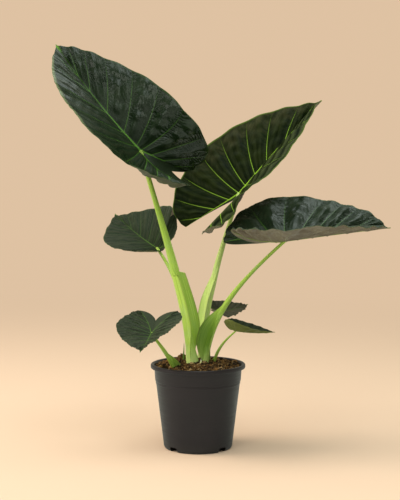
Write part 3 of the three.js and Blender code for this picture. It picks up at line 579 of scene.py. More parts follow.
def bladePatch(leaf, side, inner, phases, shares):
    # a grid over one half: from the rib to the margin, or inside the lobe to the sinus; returns the
    # flat plan, the upper side's height, the thickness, what the materials read and the UV
    stops, ribStops, marginStops = veinPhases(leaf, side)
    phase, w = np.meshgrid(phases, shares, indexing="ij")
    tRib = np.interp(phase, stops, ribStops)
    tMargin = np.interp(phase, stops, marginStops)
    rib = ribAt(leaf, side, tRib)
    u = alongLobe(tRib)
    if inner:
        beyond = np.clip((u - leaf["joined"]) / (1 - leaf["joined"]), 0, 1)
        axis = np.stack([-leaf["sinus"] * np.clip(u / leaf["joined"], 0, 1), 0 * u], -1)
        edge = np.where((u < leaf["joined"])[..., None], axis, innerMarginAt(leaf, side, beyond))
        bow = 0 * w
    else:
        edge = marginAt(leaf, side, tMargin)
        bow = 0.1 * leaf["length"] * np.sin(np.pi * tMargin) * w * (1 - w)
    flat = rib + (edge - rib) * w[..., None] - np.stack([bow, 0 * bow], -1)

    large = isLarge(leaf)
    reach = np.linalg.norm(edge - rib, axis=-1)
    fromRib = np.where((tRib < bend) & (not inner), np.abs(flat[..., 1]), w * reach * 0.9)
    alongRib = np.clip(np.where(tRib < bend, tRib / bend, 1 - 0.8 * u), 0, 1)
    ribHalf = leaf["ribHalf"] * (0.22 + 0.78 * alongRib ** 1.5)

    # distance from the nearest vein, measured square to it
    step = np.gradient(flat, phases, axis=0)
    lead = np.gradient(flat, shares, axis=1)
    cross = np.abs(step[..., 0] * lead[..., 1] - step[..., 1] * lead[..., 0])
    spacing = cross / np.maximum(np.linalg.norm(lead, axis=-1), 1e-6)
    nearest = np.round(phase)
    away = np.abs(phase - nearest) * spacing
    isVein = (nearest > 0.5) & (nearest < stops[-1] - 0.5) & (not inner)
    veinHalf = leaf["veinHalf"] * (1 - 0.6 * w) * (1 - smooth(w, 0.72, 0.97)) * isVein

    if inner:
        height, fields = 0 * w, {"groove": 0 * w, "pleat": 0 * w + 0.5, "zone": 0 * w, "paleEdge": 0 * w}
    else:
        inBlade = smooth(tMargin, 0.05, 0.15) * (1 - smooth(tMargin, 0.93, 1))
        height, fields = bladeRelief(leaf, side, phase, w, tMargin, flat, reach, away, inBlade)
        # the margin is drawn in a little at each vein's end
        outward = (edge - rib) / np.maximum(reach, 1e-6)[..., None]
        scallop = leaf["scallop"] * (1 - np.sin(np.pi * phase) ** 2) * w ** 6 * inBlade
        flat = flat - scallop[..., None] * outward
    sink, sinkWidth = bladeLook["sink"][large]
    height = height - sink * (veinHalf > 0) * np.exp(-(away / sinkWidth) ** 2) * smooth(w, 0.0, 0.08)
    height = height + 0.22 * ribHalf * np.exp(-(fromRib / np.maximum(ribHalf, 0.3)) ** 2)

    midrib = leaf["ribs"] * (0.15 + 0.85 * alongRib) * np.exp(-(fromRib / (1.3 * ribHalf + 0.3)) ** 2)
    veinDepth = 1.1 * min(1, leaf["ribs"] / 3) * np.exp(-(away / np.maximum(1.2 * veinHalf, 0.2)) ** 2)
    deep = bladeLook["thickness"][large] + midrib + veinDepth * (veinHalf > 0) * (1 - w)
    # the drip tip runs out of the blade's end as a narrow point
    near = np.clip(1 - np.abs(flat[..., 1]) / (0.7 * leaf["drip"] + 1), 0, 1) ** 2
    near = near * smooth(flat[..., 0] / leaf["length"], 0.93, 1)
    flat = flat + np.stack([leaf["drip"] * near, 0 * near], -1)
    fields.update({
        "ribRatio": fromRib / ribHalf + 30 * smooth(u, leaf["ribSeen"][side], 1.2),
        "veinRatio": np.minimum(away / np.maximum(veinHalf, 0.05), 30),
        "toMargin": 0 * w if inner else w,
        "tipGreen": np.clip(2 * near, 0, 1),
    })
    return flat, height, deep, fields, np.stack([phase, -w if inner else w], -1)


def makeBlade(name, leaf, upperLook, underLook):
    # two patches for each half become one sheet, whose copy underneath is joined to it round the rim
    large = isLarge(leaf)
    rowsPerVein, columns = bladeLook["rows"][large], bladeLook["columns"][large]
    stops, ribStops, _ = veinPhases(leaf, 0)
    junctionPhase = np.interp(bend, ribStops, stops)
    phases = np.unique(np.append(np.linspace(0, stops[-1], stops[-1] * rowsPerVein + 1), junctionPhase))
    shares = np.linspace(0, 1, columns + 1) ** 1.12
    tops, bottoms, fields, plans, keys, triangles = [], [], [], [], [], []
    count = 0
    for side in (0, 1):
        for inner in (False, True):
            rows = phases[phases >= junctionPhase] if inner else phases
            across = np.linspace(0, 1, columns // 3) if inner else shares
            flat, height, deep, field, plan = bladePatch(leaf, side, inner, rows, across)
            for skins, off in ((tops, height), (bottoms, height - deep)):
                if inner and leaf["webbed"]:
                    skins.append(placeWeb(leaf, side, rows, across, off).reshape(-1, 3))
                else:
                    skins.append(placeBlade(leaf, side, flat, off).reshape(-1, 3))
            fields.append(field)
            plans.append(plan.reshape(-1, 2))
            signed = flat * (1, 1 if side == 0 else -1)
            keys.append(np.round(signed.reshape(-1, 2), 3) + 0.0)
            grid = gridTriangles(len(rows), len(across)) + count
            triangles.append(grid[:, ::-1] if (side == 1) != inner else grid)
            count += height.size

    # points with the same place in the plan are one, and cells that closed up go
    _, first, merged = np.unique(np.concatenate(keys), axis=0, return_index=True, return_inverse=True)
    sheet = merged.reshape(-1)[np.concatenate(triangles)]
    a, b, c = sheet.T
    sheet = sheet[(a != b) & (b != c) & (c != a)][:, ::-1]

    # the rim stands on the edges that no second triangle shares
    size = len(first)
    edges = np.concatenate([sheet[:, [0, 1]], sheet[:, [1, 2]], sheet[:, [2, 0]]])
    codes = edges[:, 0] * size + edges[:, 1]
    a, b = edges[~np.isin(edges[:, 1] * size + edges[:, 0], codes)].T
    rim = np.concatenate([np.stack([a, b + size, b], 1), np.stack([a, a + size, b + size], 1)])
    faces = np.concatenate([sheet, sheet[:, ::-1] + size, rim])
    points = np.concatenate([np.concatenate(skin)[first] for skin in (tops, bottoms)])
    uv = np.tile(np.concatenate(plans)[first], (2, 1))
    fields = {label: np.tile(np.concatenate([field[label].ravel() for field in fields])[first], 2)
              for label in fields[0]}
    faceMaterial = np.repeat([0, 1, 0], [len(sheet), len(sheet), len(rim)])
    addPiece(f"blade_{name}", points, faces,
             [upperLook, underLook], uv, fields, faceMaterial)
    print("alocasia: blade", name, len(faces), "triangles")


def makeUpperLook(name, look):
    # the upper side: blotched green, paler beside the veins, darker in the grooves as painted shade, with
    # dull streaks and a green margin under the lime veins and midrib, which are fainter towards the blade's
    # tip
    material, tree, shader = startMaterial(name, {"IOR": 1.46, "Specular IOR Level": look["specular"]})
    masks, toMargin = addVeins(tree, look["lines"]), addField(tree, "toMargin")
    veinFade = addRange(tree, toMargin, 0.1, 1.0, look["veinStrength"], look["veinStrength"] * 0.5)
    ribFade = addRange(tree, masks["Phase"], 0.5, 5, look["ribTip"], look["ribStrength"])
    colour = addLayers(
        tree, addMix(tree, addRange(tree, masks["Blotch"], 0.35, 0.68), look["deep"], look["light"]),
        (addField(tree, "pleat"), look["pleat"], look["streakColour"]),
        (addField(tree, "zone"), look["zone"], look["zoneColour"]),
        (masks["Lines"], look["streak"], look["streakColour"]),
        (masks["Halo"], look["halo"], look["haloColour"]),
        # painted shade: the grooves are darkened towards the groove colour
        (addField(tree, "groove"), 0.75, look["creaseShadeColour"]),
        (addRange(tree, toMargin, 0.965, 1.0), look["edge"], look["edgeColour"]),
        (addField(tree, "paleEdge"), 1, look["paleColour"]),
        (masks["Vein"], veinFade, look["vein"]),
        (masks["Rib"], ribFade, look["rib"]),
        (addField(tree, "tipGreen"), 1, look["rib"]),
    )
    rough = addRange(tree, masks["Blotch"], 0.3, 0.75, *look["roughness"])
    rough = addMath(tree, "ADD", rough, addRange(tree, toMargin, 0.05, 0.5, 0.2, 0))
    rough = addMath(tree, "MULTIPLY_ADD", masks["Rib"], 0.1, rough)
    lines = addMath(tree, "MULTIPLY", masks["Lines"], look["lineDepth"])
    fine = addMath(tree, "MULTIPLY_ADD", masks["Grain"], 0.35, lines)
    height = addMath(tree, "ADD", fine, addNoise(tree, addPlace(tree), look["crinkle"], 3, 0.6))
    setInputs(shader, {"Base Color": colour, "Roughness": rough,
                       "Normal": addBump(tree, height, look["bump"])})
    return material


def makeUnderLook(name, look):
    # the duller underside: dusky, with pale veins, midrib and margin
    material, tree, shader = startMaterial(name, {"IOR": 1.4, "Specular IOR Level": 0.35})
    masks = addVeins(tree, look["lines"])
    colour = addLayers(
        tree, addMix(tree, addRange(tree, masks["Blotch"], 0.3, 0.7), look["deep"], look["light"]),
        (masks["Lines"], look["streak"], look["streakColour"]),
        (masks["Vein"], 0.8, look["vein"]),
        (masks["Rib"], 1, look["rib"]),
        (addRange(tree, addField(tree, "toMargin"), 0.95, 1.0), 0.5, look["vein"]),
    )
    height = addMath(tree, "MULTIPLY_ADD", masks["Lines"], 0.6, masks["Grain"])
    setInputs(shader, {"Base Color": colour, "Normal": addBump(tree, height, 0.25),
                       "Roughness": addRange(tree, masks["Blotch"], 0.3, 0.75, 0.5, 0.68)})
    return material


darkUpper = {
    "deep": (0.005, 0.016, 0.004), "light": (0.012, 0.028, 0.008), "vein": (0.09, 0.23, 0.015),
    "rib": (0.12, 0.32, 0.015), "haloColour": (0.016, 0.042, 0.006), "edgeColour": (0.06, 0.12, 0.02),
    "streakColour": (0.04, 0.046, 0.022), "zoneColour": (0.045, 0.06, 0.03),
    # the groove colour is painted shade for the branching grooves
    "creaseShadeColour": (0.002, 0.01, 0.0015), "paleColour": (0.2, 0.24, 0.11),
    "streak": 0.06, "pleat": 0.5, "zone": 0.1, "halo": 0.3, "edge": 0.5, "veinStrength": 0.7,
    "ribStrength": 0.9, "ribTip": 0.35, "roughness": (0.22, 0.32), "specular": 0.55, "lines": 6.0,
    "lineDepth": 0.5, "crinkle": 210.0, "bump": 0.3,
}
youngUpper = dict(
    darkUpper, deep=(0.007, 0.021, 0.007), light=(0.018, 0.034, 0.012), vein=(0.07, 0.14, 0.03),
    rib=(0.12, 0.25, 0.03), haloColour=(0.026, 0.05, 0.014), streakColour=(0.095, 0.086, 0.056),
    streak=0.15, pleat=0.45, zone=0.2, ribStrength=0.85, ribTip=0.5, roughness=(0.42, 0.56),
    specular=0.2, lines=7.0, lineDepth=1.0, crinkle=260.0, bump=0.4,
)
upperLooks = {
    "dark": darkUpper,
    "blue": dict(darkUpper, deep=(0.009, 0.022, 0.009), light=(0.019, 0.037, 0.016), roughness=(0.26, 0.36)),
    "olive": dict(
        darkUpper, deep=(0.002, 0.006, 0.0005), light=(0.01, 0.016, 0.001), vein=(0.24, 0.41, 0.04),
        rib=(0.28, 0.5, 0.035), haloColour=(0.012, 0.028, 0.002), edgeColour=(0.12, 0.2, 0.03),
        streakColour=(0.08, 0.1, 0.04), zoneColour=(0.062, 0.06, 0.027), streak=0.03, pleat=0.6,
        zone=0.65, edge=0.8, veinStrength=1.0, ribStrength=1.0, ribTip=0.8, roughness=(0.32, 0.44),
        specular=0.07, lines=8.0, crinkle=150.0, bump=0.25,
    ),
    "young": youngUpper,
    "ash": dict(youngUpper, deep=(0.026, 0.032, 0.017), light=(0.06, 0.058, 0.036),
                streakColour=(0.15, 0.128, 0.088), streak=0.3, pleat=0.7),
    "fresh": dict(youngUpper, deep=(0.012, 0.032, 0.012), light=(0.032, 0.052, 0.023),
                  vein=(0.1, 0.2, 0.04), specular=0.34),
}
mauveUnder = {
    "deep": (0.22, 0.165, 0.13), "light": (0.4, 0.325, 0.26), "streakColour": (0.25, 0.18, 0.14),
    "vein": (0.3, 0.29, 0.14), "rib": (0.3, 0.42, 0.08), "streak": 0.35, "lines": 6.0,
}
underLooks = {
    "mauve": mauveUnder,
    "olive": dict(mauveUnder, deep=(0.16, 0.17, 0.04), light=(0.29, 0.31, 0.09),
                  streakColour=(0.14, 0.11, 0.04)),
    "dusk": dict(mauveUnder, deep=(0.08, 0.08, 0.046), light=(0.16, 0.17, 0.095),
                 streakColour=(0.13, 0.1, 0.065)),
}
looksOf = {  # the upper and the under side
    "upper_left": ("dark", "dusk"), "upper_right": ("olive", "mauve"), "right": ("blue", "mauve"),
    "middle_left": ("young", "mauve"), "lower_left": ("fresh", "olive"), "small_back": ("ash", "mauve"),
    "small_front": ("young", "olive"),
}

uppers = {key: makeUpperLook(f"{key}LeafUpper", look) for key, look in upperLooks.items()}
unders = {key: makeUnderLook(f"{key}LeafUnder", look) for key, look in underLooks.items()}
for leafName, leafShape in leaves.items():
    upperName, underName = looksOf[leafName]
    makeBlade(leafName, leafShape, uppers[upperName], unders[underName])


# Leaf stalks with their open sheaths

stalkLook = {
    "rows": 220, "around": 72, "extraRows": 40,  # more of them where a sheath ends abruptly
    "wing": 0.7,  # mm, half the thickness of a sheath's wing
    "ridges": 0.12,  # mm, lengthwise
    "ridgeCount": 22, "rootDepth": 15, "soilLevel": 181,
    "ragged": 0.008, "slant": 0.016,  # shares of the stalk, on a sheath that ends abruptly
}


def makeStalk(name, leaf, material):
    # rings along a cubic: a round stem with two wings, bent to an arc about the sheath's face; the
    # stem's share on the face side sinks into a channel where the sheath is open
    look, sheath, girth = stalkLook, leaf["sheath"], leaf["girth"]
    line = [(*leaf["foot"], look["soilLevel"] - look["rootDepth"]), leaf["rise"], leaf["reach"],
            leaf["junction"]]
    abrupt = sheath["torn"] < 0.05  # the sheath ends within that share of the stalk
    share = np.linspace(0, 1, look["rows"])
    if abrupt:
        extra = np.linspace(sheath["end"] - 0.03, sheath["end"] + 0.01, look["extraRows"])
        share = np.unique(np.append(share, extra))
    centre = bezier(line, share)
    tangent = unit(bezier(line, np.minimum(share + 0.004, 1)) - bezier(line, np.maximum(share - 0.004, 0)))
    facing = np.array(sheath["face"], float)
    face = unit(facing - tangent * (tangent @ facing)[:, None])
    across = np.cross(face, tangent)

    share, angle = share[:, None], fullTurn(look["around"])[None]
    s, inFront = np.cos(angle), np.sin(angle)
    rng = np.random.default_rng(leaf["seed"] + 3)
    ragged = look["ragged"] * ripples(s * 2.5, np.sign(inFront) * 0.02, leaf["seed"] + 4, 2)
    end = sheath["end"] + (ragged - look["slant"] * smooth(s, -0.3, 0.9)) * abrupt
    opened = smooth(share, sheath["start"], sheath["full"]) * (1 - smooth(share, end - sheath["torn"], end))
    width = np.where(s < 0, sheath["width"][0], sheath["width"][1])
    wings = width * opened * (1 - sheath.get("taper", 0) * smooth(share, 0.3, 0.6))
    widest = max(sheath["width"]) * opened.max(1, keepdims=True)
    stemRadius = np.interp(share * (len(girth) - 1), np.arange(len(girth)), girth)
    bendOf = (widest / (widest + stemRadius)) / np.maximum(sheath["wrap"], stemRadius + 2)
    bendOf = np.maximum(bendOf, 1e-6)
    along = s * (stemRadius + wings)
    stem = np.sqrt(np.maximum(0, stemRadius ** 2 - along ** 2))
    stem = np.where(inFront > 0, stem * (1 - 0.8 * opened), stem)
    wing = look["wing"] * opened * (1 - 0.5 * smooth(np.abs(s), 0.7, 1)) * np.abs(inFront) ** 0.5
    half = (stem ** 4 + wing ** 4) ** 0.25 * np.sign(inFront)
    ridge = look["ridges"] * np.sin(look["ridgeCount"] * angle + 2 * rng.random()) * smooth(stemRadius, 2, 8)
    half = half + ridge * np.abs(inFront)
    turn = along * bendOf
    sideways = np.sin(turn) / bendOf - half * np.sin(turn)
    forward = (1 - np.cos(turn)) / bendOf + half * np.cos(turn)
    rings = centre[:, None] + across[:, None] * sideways[..., None] + face[:, None] * forward[..., None]
    points, triangles = closedSkin(rings)

    def onPoints(values, ends=(0, 0)):
        return np.append(np.broadcast_to(values, half.shape).ravel(), ends)

    # painted shade inside the open sheath, as strong as its shade, and on the wings of a sheath with
    # wingShade
    inside = np.where(inFront > 0.02, sheath["shade"], 0) * opened
    wingShade = sheath.get("wingShade", 0) * smooth(np.abs(s), 0.4, 0.62) * opened
    uv = np.stack([onPoints(angle / (2 * np.pi)), onPoints(share, (0, 1))], -1)
    fields = {
        "inside": onPoints(np.maximum(inside, wingShade)), "upStalk": onPoints(share, (0, 1)),
        "sheathRim": onPoints(smooth(np.abs(s), 0.9, 0.995) * opened),
        "paleStalk": onPoints(leaf["pale"], [leaf["pale"]] * 2), "roundStalk": onPoints(np.abs(s)),
    }
    addPiece(f"stalk_{name}", points, triangles, [material], uv, fields, sharpAngle=70)


stalkColours = {
    "light": (0.68, 0.85, 0.16), "deep": (0.35, 0.56, 0.045), "pale": (0.72, 0.8, 0.34),
    # the channel colour is painted shade inside the open sheath
    "channelShade": (0.06, 0.17, 0.008), "cool": (0.42, 0.62, 0.2), "rim": (0.22, 0.16, 0.05),
}


def makeStalkLook():
    # lime green with lengthwise streaks, paler at the foot, with painted shade inside the sheath
    look = stalkColours
    material, tree, shader = startMaterial("stalkSkin", {
        "Roughness": 0.38, "IOR": 1.42, "Specular IOR Level": 0.45, "Coat Weight": 0.1,
        "Coat Roughness": 0.25,
    })
    place, up = addPlace(tree), addField(tree, "upStalk")
    stretched = addNode(tree, "ShaderNodeCombineXYZ", {
        0: addMath(tree, "MULTIPLY", addField(tree, "roundStalk"), 24.0),
        1: addMath(tree, "MULTIPLY", up, 2.2),
    }).outputs[0]
    streaks = addNoise(tree, stretched, 1.6, 4, 0.65)
    colour = addLayers(
        tree, addMix(tree, addRange(tree, streaks, 0.36, 0.68), look["deep"], look["light"]),
        (addRange(tree, addNoise(tree, place, 26, 3), 0.45, 0.75), 0.45, look["cool"]),
        (addRange(tree, up, 0.0, 0.22, 0.75, 0.0), 1, look["pale"]),
        (addField(tree, "paleStalk"), 1, look["pale"]),
        # painted shade inside the sheath, a little lighter along the streaks
        (addField(tree, "inside"), addRange(tree, streaks, 0.3, 0.6, 1.0, 0.6), look["channelShade"]),
        (addField(tree, "sheathRim"), 0.5, look["rim"]),
    )
    height = addMath(tree, "MULTIPLY_ADD", streaks, 1.5, addNoise(tree, place, 700, 2))
    setInputs(shader, {"Base Color": colour, "Normal": addBump(tree, height, 0.5)})
    return material


stalkSkin = makeStalkLook()
for leafName, leafShape in leaves.items():
    makeStalk(leafName, leafShape, stalkSkin)
print("alocasia: stalks made")


# Crown and young shoots

crownLook = {"x": 6.5, "y": -32, "radius": 4.5, "foot": 166, "top": 204, "folds": 5, "foldDepth": 0.12}
shootLooks = {
    "shoot_left": {"foot": (-33, 2, 166), "tip": (-31, 4, 236), "radius": 2.2},
    "shoot_right": {"foot": (24, -6, 166), "tip": (27, -5, 227), "radius": 1.8},
}
crownTint = {"low": (0.78, 0.78, 0.32), "high": (0.95, 0.94, 0.62), "noise": 130, "roughness": 0.6,
             "specular": 0.3}
shootTint = {"low": (0.07, 0.16, 0.02), "high": (0.2, 0.36, 0.06), "noise": 90, "roughness": 0.42,
             "specular": 0.4}


def makeCrown(material):
    # a blunt spindle whose radius falls towards the top, pleated round its axis
    look = crownLook
    share, angle = np.linspace(0, 1, 60)[:, None], fullTurn(48)[None]
    radius = look["radius"] * (1 - smooth(share, 0.35, 1.15)) * np.sqrt(np.maximum(1 - share ** 9, 0.002))
    pleat = 1 + look["foldDepth"] * np.sin(look["folds"] * angle + 3 * share)
    pleat = pleat + 0.04 * ripples(angle / 2, share * 3, 5, 2)
    z = look["foot"] + (look["top"] - look["foot"]) * share
    points, triangles = closedSkin(ringPoints(radius * pleat, angle, z) + (look["x"], look["y"], 0))
    addPiece("crown", points, triangles, [material])


def makeShoot(name, look, material):
    # a slim spike along a straight line, its radius falling to a point
    share, angle = np.linspace(0, 1, 50)[:, None], fullTurn(20)[None]
    foot, tip = np.array(look["foot"], float), np.array(look["tip"])
    radius = look["radius"] * np.maximum(1 - share ** 2.5, 0.03) * (1 + 0.06 * np.cos(3 * angle))
    points, triangles = closedSkin(foot + (tip - foot) * share[..., None] + ringPoints(radius, angle, 0))
    addPiece(name, points, triangles, [material])


def makeTintLook(name, look):
    # two tones mixed by a noise, with a fine grain
    values = {"Roughness": look["roughness"], "Specular IOR Level": look["specular"]}
    material, tree, shader = startMaterial(name, values)
    place = addPlace(tree)
    tone = addRange(tree, addNoise(tree, place, look["noise"], 4), 0.35, 0.68)
    grain = addNoise(tree, place, look["noise"] * 8, 3)
    setInputs(shader, {"Base Color": addMix(tree, tone, look["low"], look["high"]),
                       "Normal": addBump(tree, grain, 0.2)})
    return material


makeCrown(makeTintLook("crownSkin", crownTint))
shootSkin = makeTintLook("shootSkin", shootTint)
for shootName, shootLook in shootLooks.items():
    makeShoot(shootName, shootLook, shootSkin)
print("alocasia: crown and shoots made")


# Pot

potShape = {
    "height": 188, "rimRadius": 105, "lipHeight": 10, "collarRadius": 97, "stepHeight": 151,
    "wallTopRadius": 94, "beadHeight": 145, "footRadius": 77, "baseRadius": 71, "wall": 2.4,
    "floor": 3, "segments": 256, "round": 1.1, "sharpAngle": 40,
    "notches": {"count": 4, "width": 21, "height": 10, "corner": 2.5, "firstAngle": 45},
    "black": (0.011, 0.0065, 0.0075), "dusty": (0.018, 0.0115, 0.013), "soiled": (0.04, 0.033, 0.027),
}


def roundedLine(corners, radius, steps=4):
    # every corner of the profile becomes a short parabola, no longer than a third of its sides
    points = [corners[0]]
    for before, corner, after in zip(corners, corners[1:], corners[2:]):
        before, corner, after = map(np.array, (before, corner, after))
        reach = [min(radius, np.linalg.norm(side) / 3) / np.linalg.norm(side)
                 for side in (before - corner, after - corner)]
        curve = [corner + (before - corner) * reach[0], corner, corner + (after - corner) * reach[1]]
        points.extend(bezier(curve, np.linspace(0, 1, steps)).tolist())
    points.append(corners[-1])
    return np.array(points, float)


def potProfile():
    # radius and height of each corner, from the middle of the underside over the lip to the floor
    shape = potShape
    lip = shape["height"] - shape["lipHeight"]
    bead, foot = shape["beadHeight"], shape["footRadius"]

    def slope(z):
        return foot + (shape["wallTopRadius"] - 0.8 - foot) * (z - 12) / (bead - 12)

    top, rim, collar, wall = shape["wallTopRadius"], shape["rimRadius"], shape["collarRadius"], shape["wall"]
    height, base, step = shape["height"], shape["baseRadius"], shape["stepHeight"]
    return [
        (0.01, 0), (base, 0), (base + 3.5, 1.6), (foot - 0.6, 5.5), (foot, 12),
        (slope(bead - 1.5), bead - 1.5), (top, bead), (top - 0.4, step - 1), (top + 1.2, step),
        (collar, lip), (rim - 1, lip + 0.6), (rim, lip + 2), (rim, height - 2), (rim - 2.4, height),
        (collar + 1.6, height - 0.6), (collar - wall + 1.6, height - 5), (collar - wall, lip),
        (slope(bead) - wall, step - 4), (foot - wall, 14), (base - 1, shape["floor"]),
        (0.01, shape["floor"]),
    ]


def makePot(material):
    # the rounded profile turned about the axis, then cut by the drain notches
    shape, notches = potShape, potShape["notches"]
    profile = roundedLine(potProfile(), shape["round"])
    points, triangles = closedSkin(ringPoints(profile[:, :1], fullTurn(shape["segments"]), profile[:, 1:]))
    piece = addPiece("pot", points, triangles, [material], sharpAngle=shape["sharpAngle"])
    for i in range(notches["count"]):
        cutter = makeNotchCutter(math.radians(notches["firstAngle"] + 360 / notches["count"] * i))
        cut = piece.modifiers.new("notch", "BOOLEAN")
        cut.operation, cut.solver, cut.object = "DIFFERENCE", "EXACT", cutter
        applyModifiers(piece)
        bpy.data.objects.remove(cutter)
    piece.data.set_sharp_from_angle(angle=math.radians(shape["sharpAngle"]))


def makeNotchCutter(turn):
    # a box across the pot's bottom corner, with its upper corners rounded off, turned about the axis
    notches, foot = potShape["notches"], potShape["footRadius"]
    half, high, low = notches["width"] / 2, notches["height"], -2
    corner, bevel = notches["corner"], 0.32 * notches["corner"]
    outline = [(-half, low), (half, low), (half, high - corner), (half - bevel, high - bevel),
               (half - corner, high), (corner - half, high), (bevel - half, high - bevel),
               (-half, high - corner)]
    y, z = np.array(outline).T
    x = np.array([[foot - 14], [foot + 10]])
    rings = np.stack(np.broadcast_arrays(x * math.cos(turn) - y * math.sin(turn),
                                         x * math.sin(turn) + y * math.cos(turn), z), -1)
    points, triangles = closedSkin(rings)
    mesh = bpy.data.meshes.new("notchCutter")
    mesh.from_pydata((points * mm).tolist(), [], triangles.tolist())
    return addObject("notchCutter", mesh)


def applyModifiers(piece):
    # the mesh as its modifiers leave it takes the place of the old one
    bpy.context.view_layer.update()
    result = bpy.data.meshes.new_from_object(piece.evaluated_get(bpy.context.evaluated_depsgraph_get()))
    piece.modifiers.clear()
    piece.data = result


def makePotLook():
    # black plastic, a little dusty and soiled near the floor, with fine mould lines round it
    look = potShape
    values = {"IOR": 1.49, "Specular IOR Level": 0.45, "Specular Tint": (1, 0.9, 0.93, 1)}
    material, tree, shader = startMaterial("potPlastic", values)
    place = addPlace(tree)
    dust = addNoise(tree, place, 14, 5, 0.6)
    flat = addNode(tree, "ShaderNodeVectorMath", {0: place, 1: (1, 1, 14)}, operation="MULTIPLY").outputs[0]
    rings = addNoise(tree, flat, 20, 4, 0.6)
    colour = addMix(tree, addRange(tree, dust, 0.3, 0.75), look["black"], look["dusty"])
    low = addRange(tree, splitVector(tree, place)["Z"], 0.0, 0.03, 0.3, 0)
    rough = addRange(tree, addMath(tree, "ADD", dust, rings), 0.7, 1.35, 0.36, 0.5)
    grain = addMath(tree, "MULTIPLY", addNoise(tree, place, 1500, 2), 0.35)
    height = addMath(tree, "MULTIPLY_ADD", rings, 1.3, grain)
    setInputs(shader, {"Base Color": addMix(tree, low, colour, look["soiled"]), "Roughness": rough,
                       "Normal": addBump(tree, height, 0.12)})
    return material


makePot(makePotLook())
print("alocasia: pot made")


# Soil

soilShape = {
    "level": 181, "rings": 110, "segments": 300, "grain": 1.5, "radius": 94.2, "rimHeight": 180.5,
    "side": [(62.0, 3.4), (74.0, 14.2), (94.0, 177.5), (94.6, 179.6)],  # radius, height
    "mounds": [(0, 0, 15, 62), (-36, 36, 13, 12), (46, 44, 5, 16)],  # x, y, height, radius
    "crumbs": 3600, "crumbSize": (1.1, 3.1), "chips": 420, "chipSize": (3.2, 8.5), "crumbReach": 93,
    "seed": 7, "dark": (0.017, 0.008, 0.0025), "bark": (0.25, 0.12, 0.034),
    "straw": (0.46, 0.29, 0.13), "fleck": (0.03, 0.016, 0.01),
}


def soilHeight(x, y):
    # the level raised by bell-shaped mounds, and roughened at two scales
    height = soilShape["level"] + 0 * x
    for middleX, middleY, tall, radius in soilShape["mounds"]:
        height = height + tall * np.exp(-((x - middleX) ** 2 + (y - middleY) ** 2) / radius ** 2)
    grain = soilShape["grain"]
    return height + grain * ripples(x / 22, y / 22, 3, 3) + 0.7 * grain * ripples(x / 5, y / 5, 4, 2)


def crumbShape():
    # an icosahedron: twelve corners from the golden ratio, with its twenty faces by nearness
    golden = (1 + 5 ** 0.5) / 2
    corners = np.array([(0, a, b * golden) for a in (-1, 1) for b in (-1, 1)], float)
    corners = np.concatenate([corners, np.roll(corners, 1, 1), np.roll(corners, 2, 1)])
    near = np.linalg.norm(corners[:, None] - corners[None], axis=-1) < 2.1
    faces = np.array([(i, j, k) for i in range(12) for j in range(i + 1, 12) for k in range(j + 1, 12)
                      if near[i, j] and near[j, k] and near[i, k]])
    a, b, c = corners[faces].transpose(1, 0, 2)
    inward = (np.cross(b - a, c - a) * a).sum(1) < 0
    faces[inward] = faces[inward][:, [0, 2, 1]]
    return corners / np.linalg.norm(corners[0]), faces


def scatterCrumbs(count, sizes, flatness, rng):
    # copies of the crumb, each stretched, turned, dented and set into the surface
    corners, faces = crumbShape()
    radius = soilShape["crumbReach"] * np.sqrt(rng.random(count))
    angle = 2 * np.pi * rng.random(count)
    x, y = radius * np.cos(angle), radius * np.sin(angle)
    size = sizes[0] + (sizes[1] - sizes[0]) * rng.random(count) ** 2.2
    stretch = np.stack([np.ones(count), 0.45 + 0.45 * rng.random(count),
                        flatness * (0.6 + 0.8 * rng.random(count))], -1) * size[:, None]
    dents = 1 + 0.28 * (rng.random((count, len(corners), 1)) - 0.5) * 2
    points = corners[None] * dents * stretch[:, None]
    lean = 0.35 + 0.9 * flatness
    quaternion = unit(rng.normal(size=(count, 4)) * (1, lean, lean, 1))
    w, vector = quaternion[:, None, :1], quaternion[:, None, 1:]
    twist = np.cross(vector, points)
    points = points + 2 * (w * twist + np.cross(vector, twist))
    lift = size * flatness * (0.1 + 0.6 * rng.random(count))
    points = points + np.stack([x, y, soilHeight(x, y) + lift], -1)[:, None]
    offsets = (np.arange(count) * len(corners))[:, None, None]
    tone = np.repeat(rng.random(count), len(corners))
    return points.reshape(-1, 3), (faces[None] + offsets).reshape(-1, 3), tone


def makeSoil(material):
    # a closed block whose top is the rough surface, with crumbs and bark chips over it
    shape = soilShape
    rng = np.random.default_rng(shape["seed"])
    angle, side = fullTurn(shape["segments"])[None], np.array(shape["side"])
    radius = (shape["radius"] * np.linspace(1, 0.004, shape["rings"]) ** 0.9)[:, None]
    top = ringPoints(radius, angle, 0)
    top[..., 2] = soilHeight(top[..., 0], top[..., 1])
    top[0, :, 2] = np.minimum(top[0, :, 2], shape["rimHeight"])
    points, triangles = closedSkin(np.concatenate([ringPoints(side[:, :1], angle, side[:, 1:]), top]))
    parts = [(points, triangles, np.full(len(points), 0.12)),
             scatterCrumbs(shape["crumbs"], shape["crumbSize"], 0.8, rng),
             scatterCrumbs(shape["chips"], shape["chipSize"], 0.28, rng)]
    points, triangles, tones = zip(*parts)
    offsets = np.cumsum([0] + [len(part) for part in points])
    triangles = np.concatenate([part + offset for part, offset in zip(triangles, offsets)])
    addPiece("soil", np.concatenate(points), triangles, [material],
             fields={"tone": np.concatenate(tones)}, sharpAngle=30)


